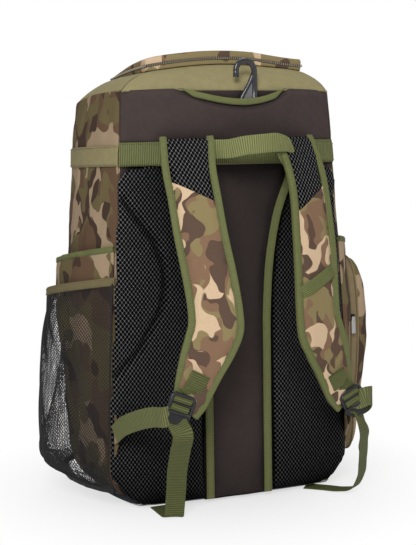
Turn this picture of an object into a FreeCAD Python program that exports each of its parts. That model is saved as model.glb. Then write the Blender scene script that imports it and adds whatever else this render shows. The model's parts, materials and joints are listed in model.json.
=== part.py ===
import FreeCAD, Part
import math
import os
import Sketcher

# A bat-style sports backpack, standing on its base.
# Frame: +Z up, origin in the middle of the flat base. The wearer's side faces -Y,
# the front of the pack +Y, and +X is to the right for someone looking at the wearer's side.

doc = FreeCAD.newDocument("backpack")

# ---------------------------------------------------------------------------
# Driving dimensions, in millimetres (angles in degrees)
# ---------------------------------------------------------------------------
DIMENSIONS = {
    # main body
    "base_half_width": 174.5,
    "top_half_width": 145.3,
    "body_depth": 235,
    "body_height": 539,
    "cloth": 3,
    "corner_low": 17,
    "corner_high": 58,
    "corner_inset": 36,
    "corner_inset_low": 17,
    "front_base_inset": 20,
    "back_bulge_base": 4,
    "back_bulge_top": 18,
    "side_bulge_base": 22,
    "side_bulge_low": 29.2,
    "side_bulge": 34,
    "side_bulge_top": 26,
    "front_bulge_base": 8,
    "front_bulge": 14,
    # top yoke and lid
    "yoke_rise": 30,
    "yoke_top_bow": 0.5,
    "lid_half_width": 111,
    "lid_half_depth": 89,
    "lid_back_bulge": 8,
    "gusset_height": 9.5,
    "lid_side_height": 11.5,
    "lid_crown": 9,
    "lid_crown_inset": 34,
    "lid_shoulder_rise": 5.4,
    "lid_shoulder_inset": 10.2,
    "lid_wall": 2.5,
    "clearance": 0.3,
    # layers on the back
    "pad_thick": 14,
    "pad_foot": 3,
    "band_low": 447,
    "band_width": 31,
    "band_edge": 1.5,
    "yoke_fullness": 14,
    "channel_half": 48,
    "channel_top_half": 66,
    "channel_flare_low": 260,
    "channel_flare_high": 400,
    "channel_binding": 9,
    "binding_thick": 12,
    "side_band_width": 25,
    "side_band_thick": 1.5,
    # hook pocket
    "scoop_half_width": 71,
    "scoop_depth": 19,
    "scoop_binding": 8,
    "hook_bay_left": 20,
    "hook_bay_right": 48,
    "hook_bay_floor": 482,
    "hook_bay_depth": 10,
    # fence hook
    "hook_x": 15,
    "hook_bar": 8,
    "hook_inner_radius": 6.5,
    "hook_crown": 48,  # above the top of the hook's body
    "hook_tip": 22,  # above the top of the hook's body
    "hook_body_top": 532,
    "hook_body_width": 22,
    "hook_foot": 35,  # below the top of the hook's body
    "hook_thick": 6,
    "hook_webbing_width": 18,
    "hook_webbing_thick": 1.5,
    # haul handle
    "handle_half_span": 40,
    "handle_webbing": 25,
    "handle_thick": 2.5,
    "handle_bow": 34,
    "handle_top": 481,
    # bat sleeves
    "sleeve_fullness": 18,
    "sleeve_fullness_base": 8,
    "sleeve_seam": 2.4,
    "sleeve_seam_inset": 4,
    "sleeve_wall": 2,
    "sleeve_top_back": 347,
    "sleeve_top_front": 320,
    "hem_width": 8,
    "pocket_root": 30,
    # mesh pocket
    "mesh_fullness": 31,
    "mesh_fullness_base": 14,
    "mesh_seam": 4.8,
    "mesh_seam_inset": 8,
    "mesh_wall": 1.5,
    "mesh_floor": 24,
    "mesh_belly_low": 62,
    "mesh_top_back": 302,
    "mesh_top_front": 275,
    # zipped side pocket
    "purse_floor": 24,
    "purse_belly_low": 50,
    "purse_belly_high": 262,
    "purse_top": 312,
    "purse_half_length": 68,
    "purse_middle": 6,
    "purse_reach": 6.5,  # past the sleeve's fullest point
    "purse_rounding": 12,
    "purse_face_bulge": 9,
    "purse_wall": 2,
    "purse_face_width": 12,
    # zips
    "zip_width": 10,
    "zip_thick": 1.2,
    "slider_length": 11,
    "slider_width": 8,
    "slider_thick": 4,
    "pull_length": 24,
    "pull_width": 7,
    "pull_thick": 1.6,
    "side_slider_top": 238,
    "side_zip_low": 70,
    "side_zip_high": 262,
    "lid_slider_start": 62,
    "front_slider_top": 300,
    # front pocket
    "front_pocket_half": 118,
    "front_pocket_low": 40,
    "front_pocket_high": 330,
    "front_pocket_reach": 52,
    "front_pocket_bulge": 8,
    "front_pocket_rounding": 14,
    "front_pocket_wall": 2,
    "front_zip_inset": 14,
    "front_zip_low": 70,
    "valuables_half": 84,
    "valuables_low": 385,
    "valuables_high": 480,
    "valuables_reach": 24,
    "valuables_zip_level": 462,
    "valuables_slider_start": 62,
    # shoulder straps
    "strap_top": 2,  # below the band's upper edge
    "strap_thick": 14,
    "strap_root_in": 42,
    "strap_root_out": 106,
    "strap_shoulder_in": 45,
    "strap_shoulder_out": 110,
    "strap_shoulder_level": 420,
    "strap_waist_in": 36,
    "strap_waist_out": 99,
    "strap_waist_level": 260,
    "strap_tip_in": 94,
    "strap_tip_out": 120,
    "strap_tip_low": 140,
    "strap_tip_high": 172,
    "strap_stand_off": 117,
    "strap_knee_level": 235,
    "strap_tip_stand_off": 110,
    "strap_bow": 24,
    "strap_binding": 8.5,
    "strap_binding_proud": 1,
    "keeper_low": 282,
    "keeper_rise": 26,
    "keeper_webbing": 14,
    "webbing": 25,
    "webbing_thick": 1.5,
    "webbing_gap": 1.2,
    "patch_top": 193,
    "patch_low": 166,
    "patch_top_x": 92,
    "patch_low_x": 104,
    # ladder locks
    "lock_width": 30,
    "lock_length": 32,
    "lock_thick": 5,
    "lock_rail": 3.5,
    "lock_tilt": 27,
    "lock_x": 117,
    "lock_level": 147,
    # lower webbing
    "tab_top": 142,
    "tab_low": 59,
    "tab_reach": 14,
    "tab_thick": 2,
    "adjuster_tab_level": 99,
    "adjuster_lock_level": 138,
    "adjuster_lock_x": 129,
    "adjuster_bow": 6,
    "tail_x": 114,
    "tail_knee_level": 48,
    "tail_knee": 92,
    "tail_fold": 57,
    "tail_tuck": 6,
    # inside
    "sheet_thick": 2,
    "sheet_margin": 12,
    "divider_thick": 4,
    "divider_gap": 24,
    "divider_height": 330,
    "board_thick": 3,
}

sheet = doc.addObject("Spreadsheet::Sheet", "Sizes")
for row, (alias, number) in enumerate(DIMENSIONS.items(), start=1):
    sheet.set(f"A{row}", alias)
    sheet.set(f"B{row}", str(number))
    sheet.setAlias(f"B{row}", alias)
doc.recompute()


class Size:
    """A number together with the sheet formula that drives it."""

    def __init__(self, number, formula):
        self.number = float(number)
        self.formula = formula

    @staticmethod
    def of(other):
        return other if isinstance(other, Size) else Size(other, repr(float(other)))

    def _with(self, other, sign, number):
        return Size(number, f"({self.formula} {sign} {Size.of(other).formula})")

    def __add__(self, other):
        return self._with(other, "+", self.number + Size.of(other).number)

    def __sub__(self, other):
        return self._with(other, "-", self.number - Size.of(other).number)

    def __mul__(self, other):
        return self._with(other, "*", self.number * Size.of(other).number)

    def __truediv__(self, other):
        return self._with(other, "/", self.number / Size.of(other).number)

    def __radd__(self, other):
        return Size.of(other) + self

    def __rsub__(self, other):
        return Size.of(other) - self

    def __rmul__(self, other):
        return Size.of(other) * self

    def __neg__(self):
        return Size.of(0) - self


def size(alias):
    """The sheet's value under this alias."""
    return Size(sheet.get(alias), "Sizes." + alias)


def between(low, high, share):
    """The size that lies this share of the way from low to high."""
    return low + (high - low) * share


def drive(thing, prop, value):
    """Bind one property of an object to the sheet."""
    value = Size.of(value)
    thing.setExpression(prop, value.formula)


# ---------------------------------------------------------------------------
# Sketches, prisms and lofts
# ---------------------------------------------------------------------------
ROLES = {"XY": "XY_Plane", "XZ": "XZ_Plane", "YZ": "YZ_Plane"}


def draw(body, name, plane, offset, loops):
    """A sketch of closed loops. A loop is a list of corners (u, v) or (u, v, sagitta):
    with a sagitta, the edge that leaves the corner is an arc that bulges to the right
    of the way it runs, or to the left where the sagitta is negative."""
    sketch = body.newObject("Sketcher::SketchObject", name)
    origin_plane = [f for f in body.Origin.OriginFeatures if f.Role == ROLES[plane]][0]
    sketch.AttachmentSupport = [(origin_plane, "")]
    sketch.MapMode = "FlatFace"
    drive(sketch, "AttachmentOffset.Base.z", offset)
    for loop in loops:
        draw_loop(sketch, loop)
    return sketch


def draw_loop(sketch, loop):
    """Lines and arcs from corner to corner, each corner held by the sheet."""
    corners = [(Size.of(c[0]), Size.of(c[1]), Size.of(c[2]) if len(c) > 2 else None) for c in loop]
    ends = []
    for here, there in zip(corners, corners[1:] + corners[:1]):
        p = FreeCAD.Vector(here[0].number, here[1].number, 0)
        q = FreeCAD.Vector(there[0].number, there[1].number, 0)
        sagitta = here[2]
        if sagitta is None:
            edge = sketch.addGeometry(Part.LineSegment(p, q), False)
            ends.append((edge, 1, 2))
            continue
        run = q - p
        right = FreeCAD.Vector(run.y, -run.x, 0).normalize()
        crown = (p + q) * 0.5 + right * sagitta.number
        arc = Part.Arc(p, crown, q)
        edge = sketch.addGeometry(arc, False)
        ends.append((edge, 1, 2) if sagitta.number > 0 else (edge, 2, 1))
        along = here[0] - there[0]
        across = here[1] - there[1]
        chord_squared = along * along + across * across
        radius = (chord_squared / 4 + sagitta * sagitta) / (2 * sagitta)
        if sagitta.number < 0:
            radius = -radius
        held = sketch.addConstraint(Sketcher.Constraint("Radius", edge, radius.number))
        drive(sketch, f"Constraints[{held}]", radius)
    for (edge, start, end), (follower, next_start, _) in zip(ends, ends[1:] + ends[:1]):
        sketch.addConstraint(Sketcher.Constraint("Coincident", edge, end, follower, next_start))
    for (edge, start, end), corner in zip(ends, corners):
        for kind, value in (("DistanceX", corner[0]), ("DistanceY", corner[1])):
            held = sketch.addConstraint(Sketcher.Constraint(kind, -1, 1, edge, start, value.number))
            drive(sketch, f"Constraints[{held}]", value)


def prism(name, plane, loops, low, high):
    """A body whose sketch is carried from low to high along the axis across its plane."""
    body = doc.addObject("PartDesign::Body", name)
    if plane == "XZ":
        low, high = -Size.of(high), -Size.of(low)
    sketch = draw(body, name + "_outline", plane, low, loops)
    pad = body.newObject("PartDesign::Pad", name + "_pad")
    pad.Profile = sketch
    pad.Refine = False
    drive(pad, "Length", Size.of(high) - low)
    return body


def loft(name, sections):
    """A body that runs straight from one level section (z, loop) to the next."""
    body = doc.addObject("PartDesign::Body", name)
    sketches = [
        draw(body, f"{name}_level_{k}", "XY", level, [loop])
        for k, (level, loop) in enumerate(sections)
    ]
    feature = body.newObject("PartDesign::AdditiveLoft", name + "_loft")
    feature.Profile = sketches[0]
    feature.Sections = sketches[1:]
    feature.Ruled = True
    feature.Refine = False
    return body


def box(name, low, high):
    """A Part::Box between two corners."""
    thing = doc.addObject("Part::Box", name)
    for prop, place, start, end in zip(("Length", "Width", "Height"), "xyz", low, high):
        drive(thing, prop, Size.of(end) - start)
        drive(thing, "Placement.Base." + place, start)
    return thing


def cut(name, base, *tools):
    """What is left of the base outside every tool."""
    for count, tool in enumerate(tools):
        step = doc.addObject("Part::Cut", name if count == len(tools) - 1 else f"{name}_step_{count}")
        step.Base = base
        step.Tool = tool
        step.Refine = False
        base = step
    return base


def common(name, *things):
    """What all the things share."""
    result = doc.addObject("Part::MultiCommon", name)
    result.Shapes = list(things)
    result.Refine = False
    return result


def group(name, *things):
    """Several separate solids in one node."""
    result = doc.addObject("Part::Compound", name)
    result.Links = list(things)
    return result


NODES = []


def node(label, thing):
    """Names a finished sub-part."""
    thing.Label = label
    NODES.append(thing)
    return thing


SIDES = (("left", -1), ("right", 1))


def mirrored(loop, side):
    """A loop of straight edges, drawn for the right side, on one side: -1 is left."""
    return [(side * u, v) for u, v in loop]


# ---------------------------------------------------------------------------
# Main body: a tapered tub with bowed walls
# ---------------------------------------------------------------------------
clearance = size("clearance")
cloth = size("cloth")
height = size("body_height")
back = -size("body_depth") / 2
front = size("body_depth") / 2
corner_low = size("corner_low")
corner_high = size("corner_high")
FAR = 900  # outside the pack on every side


def half_width(level):
    """Half the width of the body's corners at a level, before the base rounds in."""
    return between(size("base_half_width"), size("top_half_width"), level / height)


def back_bulge(level):
    return between(size("back_bulge_base"), size("back_bulge_top"), level / height)


def side_bulge(level):
    return between(size("side_bulge"), size("side_bulge_top"), level / height)


# level, half width, front line, bulges of back, side and front
LEVELS = [
    (Size.of(0), half_width(Size.of(0)) - size("corner_inset"), front - size("front_base_inset"),
     back_bulge(Size.of(0)), size("side_bulge_base"), size("front_bulge_base")),
    (corner_low, half_width(corner_low) - size("corner_inset_low"), front,
     back_bulge(corner_low), size("side_bulge_low"), size("front_bulge")),
    (corner_high, half_width(corner_high), front,
     back_bulge(corner_high), side_bulge(corner_high), size("front_bulge")),
    (height, half_width(height), front,
     back_bulge(height), side_bulge(height), size("front_bulge")),
]


def tub_loop(half, front_line, bulge_back, bulge_side, bulge_front, wall):
    """The body's plan at one level, moved inwards by a wall."""
    left, right = wall - half, half - wall
    near, far = back + wall, front_line - wall
    return [
        (left, near, bulge_back), (right, near, bulge_side),
        (right, far, bulge_front), (left, far, bulge_side),
    ]


def tub_volume(name, levels, wall):
    """The body's volume, moved inwards by a wall."""
    return loft(name, [(level[0], tub_loop(*level[1:], wall)) for level in levels])


tub_outside = tub_volume("tub_outside", LEVELS, Size.of(0))
inside_levels = [(cloth,) + LEVELS[0][1:]] + LEVELS[1:]
tub_inside = tub_volume("tub_inside", inside_levels, cloth)
tub = cut("tub", tub_outside, tub_inside)

back_zone = box("back_zone", (-FAR, -FAR, 0), (FAR, back + cloth, height))
node("back_panel", common("back_panel", tub, back_zone))
for name, start, end in (("side_panel_left", -FAR, 0), ("side_panel_right", 0, FAR)):
    zone = box(name + "_zone", (start, back + cloth, corner_low), (end, front - cloth, height))
    node(name, common(name, tub, zone))
front_zone = box("front_zone", (-FAR, front - cloth, corner_low), (FAR, FAR, height))
node("front_panel", common("front_panel", tub, front_zone))
bottom_zone = box("bottom_zone", (-FAR, back + cloth, 0), (FAR, FAR, corner_low))
node("bottom_panel", common("bottom_panel", tub, bottom_zone))

# ---------------------------------------------------------------------------
# Top yoke: the four mitred panels that slope in to the lid
# ---------------------------------------------------------------------------
yoke_top = height + size("yoke_rise")
lid_half = size("lid_half_width")
lid_deep = size("lid_half_depth")
lid_wall = size("lid_wall")
lid_back_bulge = size("lid_back_bulge")


def lid_loop(wall):
    """The lid's plan: straight at the front and the sides, bowed at the back."""
    return [
        (wall - lid_half, wall - lid_deep, lid_back_bulge), (lid_half - wall, wall - lid_deep),
        (lid_half - wall, lid_deep - wall), (wall - lid_half, lid_deep - wall),
    ]


def yoke_loop(wall):
    """The yoke's upper plan has the lid's corners and slight bows that match its lower plan."""
    slight = size("yoke_top_bow")
    return [
        (wall - lid_half, wall - lid_deep, lid_back_bulge), (lid_half - wall, wall - lid_deep, slight),
        (lid_half - wall, lid_deep - wall, slight), (wall - lid_half, lid_deep - wall, slight),
    ]


def yoke_volume(name, wall):
    """The yoke's volume, moved inwards by a wall."""
    return loft(name, [(height, tub_loop(*LEVELS[-1][1:], wall)), (yoke_top, yoke_loop(wall))])


yoke_outside = yoke_volume("yoke_outside", Size.of(0))
yoke_inside = yoke_volume("yoke_inside", cloth)
node("top_yoke", cut("top_yoke", yoke_outside, yoke_inside))


def ring(name, wall, low, high):
    """An upright wall that follows the lid's plan."""
    return prism(name, "XY", [lid_loop(Size.of(0)), lid_loop(wall)], low, high)


gusset_top = yoke_top + size("gusset_height")
lid_low = gusset_top + clearance
lid_side_top = lid_low + size("lid_side_height")
lid_top = lid_side_top + size("lid_crown")
node("lid_gusset", ring("lid_gusset", lid_wall, yoke_top, gusset_top))
node("lid_side", ring("lid_side", lid_wall, lid_low, lid_side_top))
node("lid_panel", loft("lid_panel", [
    (lid_side_top, lid_loop(Size.of(0))),
    (lid_side_top + size("lid_shoulder_rise"), lid_loop(size("lid_shoulder_inset"))),
    (lid_top, lid_loop(size("lid_crown_inset"))),
]))

# ---------------------------------------------------------------------------
# Back: padded yoke with the hook's bay, webbing band, air-mesh pads, channel bindings
# ---------------------------------------------------------------------------
band_low = size("band_low")
band_top = band_low + size("band_width")


def back_layer(name, thick, fullness):
    """A layer on the back panel: thick at its edges, and fuller by so much in the middle."""
    sections = []
    for level, half, _, bulge, _, _ in LEVELS:
        outer = bulge + fullness
        sections.append((level, [
            (-half, back - thick, outer), (half, back - thick), (half, back, -bulge), (-half, back),
        ]))
    return loft(name, sections)


yoke_layer = back_layer("yoke_layer", size("band_edge"), size("yoke_fullness"))
pad_layer = back_layer("pad_layer", size("pad_thick"), Size.of(0))
binding_layer = back_layer("binding_layer", size("binding_thick"), Size.of(0))


scoop_half = size("scoop_half_width")
scoop_depth = size("scoop_depth")
rim = size("scoop_binding")
yoke_zone = box("yoke_zone", (-FAR, -FAR, band_top), (FAR, 0, height))
bay_face = back - back_bulge(height) - size("hook_bay_depth")
bay_floor = size("hook_bay_floor")
hook_bay = box(
    "hook_bay", (-size("hook_bay_left"), bay_face, bay_floor), (size("hook_bay_right"), 0, FAR),
)
scoop_cut = prism("scoop_cut", "XZ", [[
    (-scoop_half, height + rim), (-scoop_half, height, scoop_depth),
    (scoop_half, height), (scoop_half, height + rim),
]], -FAR, 0)
scoop_rim = prism("scoop_rim", "XZ", [[
    (-scoop_half - rim, height + rim), (-scoop_half - rim, height, scoop_depth + rim),
    (scoop_half + rim, height), (scoop_half + rim, height + rim),
]], -FAR, 0)
yoke_pad = common("yoke_pad", yoke_layer, yoke_zone)
node("back_yoke", cut("back_yoke", yoke_pad, scoop_rim, hook_bay))
yoke_rim = common("yoke_rim", yoke_pad, scoop_rim)
node("hook_pocket_binding", cut("hook_pocket_binding", yoke_rim, scoop_cut, hook_bay))
band_zone = box("band_zone", (-FAR, -FAR, band_low), (FAR, 0, band_top))
node("back_webbing_band", common("back_webbing_band", yoke_layer, band_zone))

foot = size("pad_foot")
channel = size("channel_half")
channel_top = size("channel_top_half")
flare_low = size("channel_flare_low")
flare_high = size("channel_flare_high")
piping = size("channel_binding")
channel_strips = []
for side_name, side in SIDES:
    outline = [
        (channel, foot), (channel, flare_low), (channel_top, flare_high), (channel_top, band_low),
        (FAR, band_low), (FAR, foot),
    ]
    pad_zone = prism(f"pad_zone_{side_name}", "XZ", [mirrored(outline, side)], -FAR, 0)
    node(f"back_pad_{side_name}", common(f"back_pad_{side_name}", pad_layer, pad_zone))
    strip = [
        (channel, foot), (channel, flare_low), (channel_top, flare_high), (channel_top, band_low),
        (channel_top - piping, band_low), (channel_top - piping, flare_high),
        (channel - piping, flare_low), (channel - piping, foot),
    ]
    strip_zone = prism(f"strip_zone_{side_name}", "XZ", [mirrored(strip, side)], -FAR, 0)
    channel_strips.append(common(f"channel_strip_{side_name}", binding_layer, strip_zone))
node("channel_bindings", group("channel_bindings", *channel_strips))

# ---------------------------------------------------------------------------
# Side webbing bands
# ---------------------------------------------------------------------------
side_band_low = band_low + (size("band_width") - size("side_band_width")) / 2
side_band_top = side_band_low + size("side_band_width")
side_band_wall = -size("side_band_thick")
band_levels = LEVELS[2:]
band_skin = tub_volume("band_skin", band_levels, side_band_wall)
for side_name, side in SIDES:
    start, end = sorted((0, side * FAR))
    zone = box(f"side_band_zone_{side_name}", (start, back, side_band_low), (end, front, side_band_top))
    piece = common(f"side_band_piece_{side_name}", band_skin, zone)
    node(f"side_band_{side_name}", cut(f"side_band_{side_name}", piece, tub_outside))


# ---------------------------------------------------------------------------
# Pockets on the sides: open bat sleeves, a mesh pocket on the left
# ---------------------------------------------------------------------------
def bow_loop(side, half, near, far, sagitta):
    """The plan of a pocket on one side: its outer wall is an arc from the back seam to the
    front seam, and its inner edge lies inside the body."""
    root = half - size("pocket_root")
    if side > 0:
        return [(root, near), (half, near, sagitta), (half, far), (root, far)]
    return [(-root, far), (-half, far, sagitta), (-half, near), (-root, near)]


def side_pouch(name, side, levels, wall):
    """Outer and inner volumes of a pouch on one side. levels holds its sections, each a level,
    a half width and a sagitta, and then how far its seams lie in from the body's corners."""
    sections, inset = levels
    near, far = back + inset, front - inset
    outer = [(lv, bow_loop(side, half, near, far, sag)) for lv, half, sag in sections]
    inner = [(lv, bow_loop(side, half - wall, near + wall, far - wall, sag)) for lv, half, sag in sections]
    floor, loop = inner[0]
    inner[0] = (floor + wall, loop)
    return loft(name + "_outside", outer), loft(name + "_inside", inner)


def slanted_zone(name, low_back, low_front, high_back, high_front):
    """A zone right across the pack between two slanted lines of the side view."""
    outline = [(back, low_back), (front, low_front), (front, high_front), (back, high_back)]
    return prism(name, "YZ", [outline], -FAR, FAR)


hem = size("hem_width")
sleeve_back = size("sleeve_top_back")
sleeve_front = size("sleeve_top_front")
sleeve_seam = size("sleeve_seam")
sleeve_full = size("sleeve_fullness")
sleeve_cloth_zone = slanted_zone("sleeve_cloth_zone", 0, 0, sleeve_back - hem, sleeve_front - hem)
sleeve_hem_zone = slanted_zone(
    "sleeve_hem_zone", sleeve_back - hem, sleeve_front - hem, sleeve_back, sleeve_front,
)
sleeve_levels = [
    (corner_low, LEVELS[1][1] + sleeve_seam, LEVELS[1][4] + size("sleeve_fullness_base")),
    (corner_high, LEVELS[2][1] + sleeve_seam, LEVELS[2][4] + sleeve_full),
    (sleeve_back, half_width(sleeve_back) + sleeve_seam, side_bulge(sleeve_back) + sleeve_full),
]
sleeve_plan = (sleeve_levels, size("sleeve_seam_inset"))
sleeve_outsides = {}
for side_name, side in SIDES:
    outside, inside = side_pouch(f"sleeve_{side_name}", side, sleeve_plan, size("sleeve_wall"))
    sleeve_outsides[side_name] = outside
    wall = cut(f"sleeve_wall_{side_name}", outside, inside, tub_outside)
    node(f"bat_sleeve_{side_name}", common(f"bat_sleeve_{side_name}", wall, sleeve_cloth_zone))
    node(f"sleeve_binding_{side_name}", common(f"sleeve_binding_{side_name}", wall, sleeve_hem_zone))

mesh_back = size("mesh_top_back")
mesh_front = size("mesh_top_front")
mesh_seam = size("mesh_seam")
mesh_full = size("mesh_fullness")
mesh_floor = size("mesh_floor")
mesh_belly = size("mesh_belly_low")
floor_half = between(LEVELS[1][1], LEVELS[2][1], (mesh_floor - corner_low) / (corner_high - corner_low))
mesh_levels = [
    (mesh_floor, floor_half + mesh_seam, LEVELS[1][4] + size("mesh_fullness_base")),
    (mesh_belly, half_width(mesh_belly) + mesh_seam, side_bulge(mesh_belly) + mesh_full),
    (mesh_back, half_width(mesh_back) + mesh_seam, side_bulge(mesh_back) + mesh_full),
]
mesh_plan = (mesh_levels, size("mesh_seam_inset"))
mesh_outside, mesh_inside = side_pouch("mesh", -1, mesh_plan, size("mesh_wall"))
mesh_wall = cut("mesh_net", mesh_outside, mesh_inside, sleeve_outsides["left"], tub_outside)
mesh_net_zone = slanted_zone("mesh_net_zone", 0, 0, mesh_back - hem, mesh_front - hem)
mesh_hem_zone = slanted_zone("mesh_hem_zone", mesh_back - hem, mesh_front - hem, mesh_back, mesh_front)
node("mesh_pocket", common("mesh_pocket", mesh_wall, mesh_net_zone))
node("mesh_pocket_hem", common("mesh_pocket_hem", mesh_wall, mesh_hem_zone))

# ---------------------------------------------------------------------------
# Zipped side pocket on the right: olive gusset with the zip, patterned face
# ---------------------------------------------------------------------------
purse_wall = size("purse_wall")
purse_near = size("purse_middle") - size("purse_half_length")
purse_far = size("purse_middle") + size("purse_half_length")
purse_reach = size("base_half_width") + size("side_bulge") + size("sleeve_fullness") + size("purse_reach")
purse_bulge = size("purse_face_bulge")
purse_round = size("purse_rounding")


def purse_loop(shrink, short):
    """The side pocket's plan, moved in by shrink; short pulls its face in at top and foot."""
    root = half_width(height) - size("pocket_root")
    face = purse_reach - shrink - short
    near, far = purse_near + shrink, purse_far - shrink
    return [(root, near), (face, near, purse_bulge), (face, far), (root, far)]


def purse_volume(name, shrink):
    none = Size.of(0)
    return loft(name, [
        (size("purse_floor") + shrink, purse_loop(shrink, purse_round)),
        (size("purse_belly_low"), purse_loop(shrink, none)),
        (size("purse_belly_high"), purse_loop(shrink, none)),
        (size("purse_top") - shrink, purse_loop(shrink, purse_round)),
    ])


purse_outside = purse_volume("purse_outside", Size.of(0))
purse_inside = purse_volume("purse_inside", purse_wall)
purse_shell = cut("purse_shell", purse_outside, purse_inside, sleeve_outsides["right"], tub_outside)
purse_seam = purse_reach - size("purse_face_width")
gusset_zone = box("gusset_zone", (0, -FAR, 0), (purse_seam, FAR, FAR))
face_zone = box("face_zone", (purse_seam, -FAR, 0), (FAR, FAR, FAR))
node("side_pocket_gusset", common("side_pocket_gusset", purse_shell, gusset_zone))
node("side_pocket_face", common("side_pocket_face", purse_shell, face_zone))

zip_width = size("zip_width")
zip_thick = size("zip_thick")
side_zip_x = purse_seam - zip_width / 2
side_zip_face = purse_near - zip_thick
node("side_pocket_zip", box(
    "side_pocket_zip",
    (side_zip_x - zip_width / 2, side_zip_face, size("side_zip_low")),
    (side_zip_x + zip_width / 2, purse_near, size("side_zip_high")),
))

# ---------------------------------------------------------------------------
# Front: a large zipped pocket below, a flat valuables pocket above
# ---------------------------------------------------------------------------
front_reach = front + size("front_pocket_reach")
front_half = size("front_pocket_half")
front_round = size("front_pocket_rounding")
front_low = size("front_pocket_low")
front_high = size("front_pocket_high")
front_pocket_bulge = size("front_pocket_bulge")


def front_pocket_loop(grow, short):
    """The front pocket's plan: grow moves its walls out, short pulls them in at top and foot."""
    half = front_half + grow - short
    reach = front_reach + grow - short
    root = front - cloth
    return [(-half, root), (half, root), (half, reach, front_pocket_bulge), (-half, reach)]


def front_pocket_volume(name, grow):
    none = Size.of(0)
    return loft(name, [
        (front_low - grow, front_pocket_loop(grow, front_round)),
        (front_low + front_round, front_pocket_loop(grow, none)),
        (front_high - front_round, front_pocket_loop(grow, none)),
        (front_high + grow, front_pocket_loop(grow, front_round)),
    ])


front_pocket_outside = front_pocket_volume("front_pocket_outside", Size.of(0))
front_pocket_inside = front_pocket_volume("front_pocket_inside", -size("front_pocket_wall"))
node("front_pocket", cut("front_pocket", front_pocket_outside, front_pocket_inside, tub_outside))

front_zip_half = front_half - size("front_zip_inset")
front_zip_top = front_high - front_round - size("front_zip_inset")
front_zip_low = size("front_zip_low")
front_zip_zone = prism("front_zip_zone", "XZ", [[
    (-front_zip_half, front_zip_low), (-front_zip_half, front_zip_top),
    (front_zip_half, front_zip_top), (front_zip_half, front_zip_low),
    (front_zip_half - zip_width, front_zip_low), (front_zip_half - zip_width, front_zip_top - zip_width),
    (zip_width - front_zip_half, front_zip_top - zip_width), (zip_width - front_zip_half, front_zip_low),
]], front + cloth, FAR)
front_zip_layer = front_pocket_volume("front_zip_layer", zip_thick)
front_zip_piece = common("front_zip_piece", front_zip_layer, front_zip_zone)
node("front_pocket_zip", cut("front_pocket_zip", front_zip_piece, front_pocket_outside))

valuables_reach = front + size("valuables_reach")
valuables_half = size("valuables_half")
valuables_low = size("valuables_low")
valuables_high = size("valuables_high")
valuables_block = box(
    "valuables_block", (-valuables_half, front - cloth, valuables_low),
    (valuables_half, valuables_reach, valuables_high),
)
wall = size("front_pocket_wall")
valuables_room = box(
    "valuables_room", (wall - valuables_half, front - cloth, valuables_low + wall),
    (valuables_half - wall, valuables_reach - wall, valuables_high - wall),
)
node("valuables_pocket", cut("valuables_pocket", valuables_block, valuables_room, tub_outside))
valuables_zip_level = size("valuables_zip_level")
valuables_zip_half = valuables_half - zip_width
node("valuables_zip", box(
    "valuables_zip",
    (-valuables_zip_half, valuables_reach, valuables_zip_level - zip_width / 2),
    (valuables_zip_half, valuables_reach + zip_thick, valuables_zip_level + zip_width / 2),
))

# ---------------------------------------------------------------------------
# Zip sliders and their pulls
# ---------------------------------------------------------------------------
slider_long = size("slider_length")
slider_wide = size("slider_width")
slider_thick = size("slider_thick")
pull_long = size("pull_length")
pull_wide = size("pull_width")
pull_thick = size("pull_thick")


def slider_and_pull(name, zip_face, facing, middle, top):
    """A slider on an upright zip whose face looks along -Y or +Y, with its pull hanging
    from the middle of the slider's own face."""
    out_near, out_far = zip_face + facing * clearance, zip_face + facing * (clearance + slider_thick)
    low, high = (out_near, out_far) if facing > 0 else (out_far, out_near)
    node(f"{name}_slider", box(
        f"{name}_slider",
        (middle - slider_wide / 2, low, top - slider_long), (middle + slider_wide / 2, high, top),
    ))
    start = out_far + facing * clearance
    end = start + facing * pull_thick
    low, high = (start, end) if facing > 0 else (end, start)
    pull_top = top - slider_long / 4
    node(f"{name}_pull", box(
        f"{name}_pull",
        (middle - pull_wide / 2, low, pull_top - pull_long), (middle + pull_wide / 2, high, pull_top),
    ))


slider_and_pull("side_zip", side_zip_face, -1, side_zip_x, size("side_slider_top"))
front_zip_x = front_zip_half - zip_width / 2
off_middle = front_zip_x / (front_half + zip_thick)
front_zip_face = front_reach + zip_thick + front_pocket_bulge * (1 - off_middle * off_middle) + clearance
slider_and_pull("front_zip", front_zip_face, 1, front_zip_x, size("front_slider_top"))

valuables_start = size("valuables_slider_start")
valuables_face = valuables_reach + zip_thick + clearance
node("valuables_slider", box(
    "valuables_slider",
    (valuables_start - slider_long, valuables_face, valuables_zip_level - slider_wide / 2),
    (valuables_start, valuables_face + slider_thick, valuables_zip_level + slider_wide / 2),
))
valuables_pull_x = valuables_start - slider_long / 2
valuables_pull_face = valuables_face + slider_thick + clearance
node("valuables_pull", box(
    "valuables_pull",
    (valuables_pull_x - pull_wide / 2, valuables_pull_face, valuables_zip_level - pull_long),
    (valuables_pull_x + pull_wide / 2, valuables_pull_face + pull_thick, valuables_zip_level),
))

lid_slider_start = size("lid_slider_start")
lid_zip_face = lid_half + clearance
node("lid_zip_slider", box(
    "lid_zip_slider",
    (lid_zip_face, lid_slider_start - slider_long, gusset_top - slider_wide / 2),
    (lid_zip_face + slider_thick, lid_slider_start, gusset_top + slider_wide / 2),
))
lid_pull_face = lid_zip_face + slider_thick + clearance
lid_pull_end = lid_slider_start - slider_long / 4
node("lid_zip_pull", box(
    "lid_zip_pull",
    (lid_pull_face, lid_pull_end - pull_long, gusset_top - pull_wide / 2),
    (lid_pull_face + pull_thick, lid_pull_end, gusset_top + pull_wide / 2),
))

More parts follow.
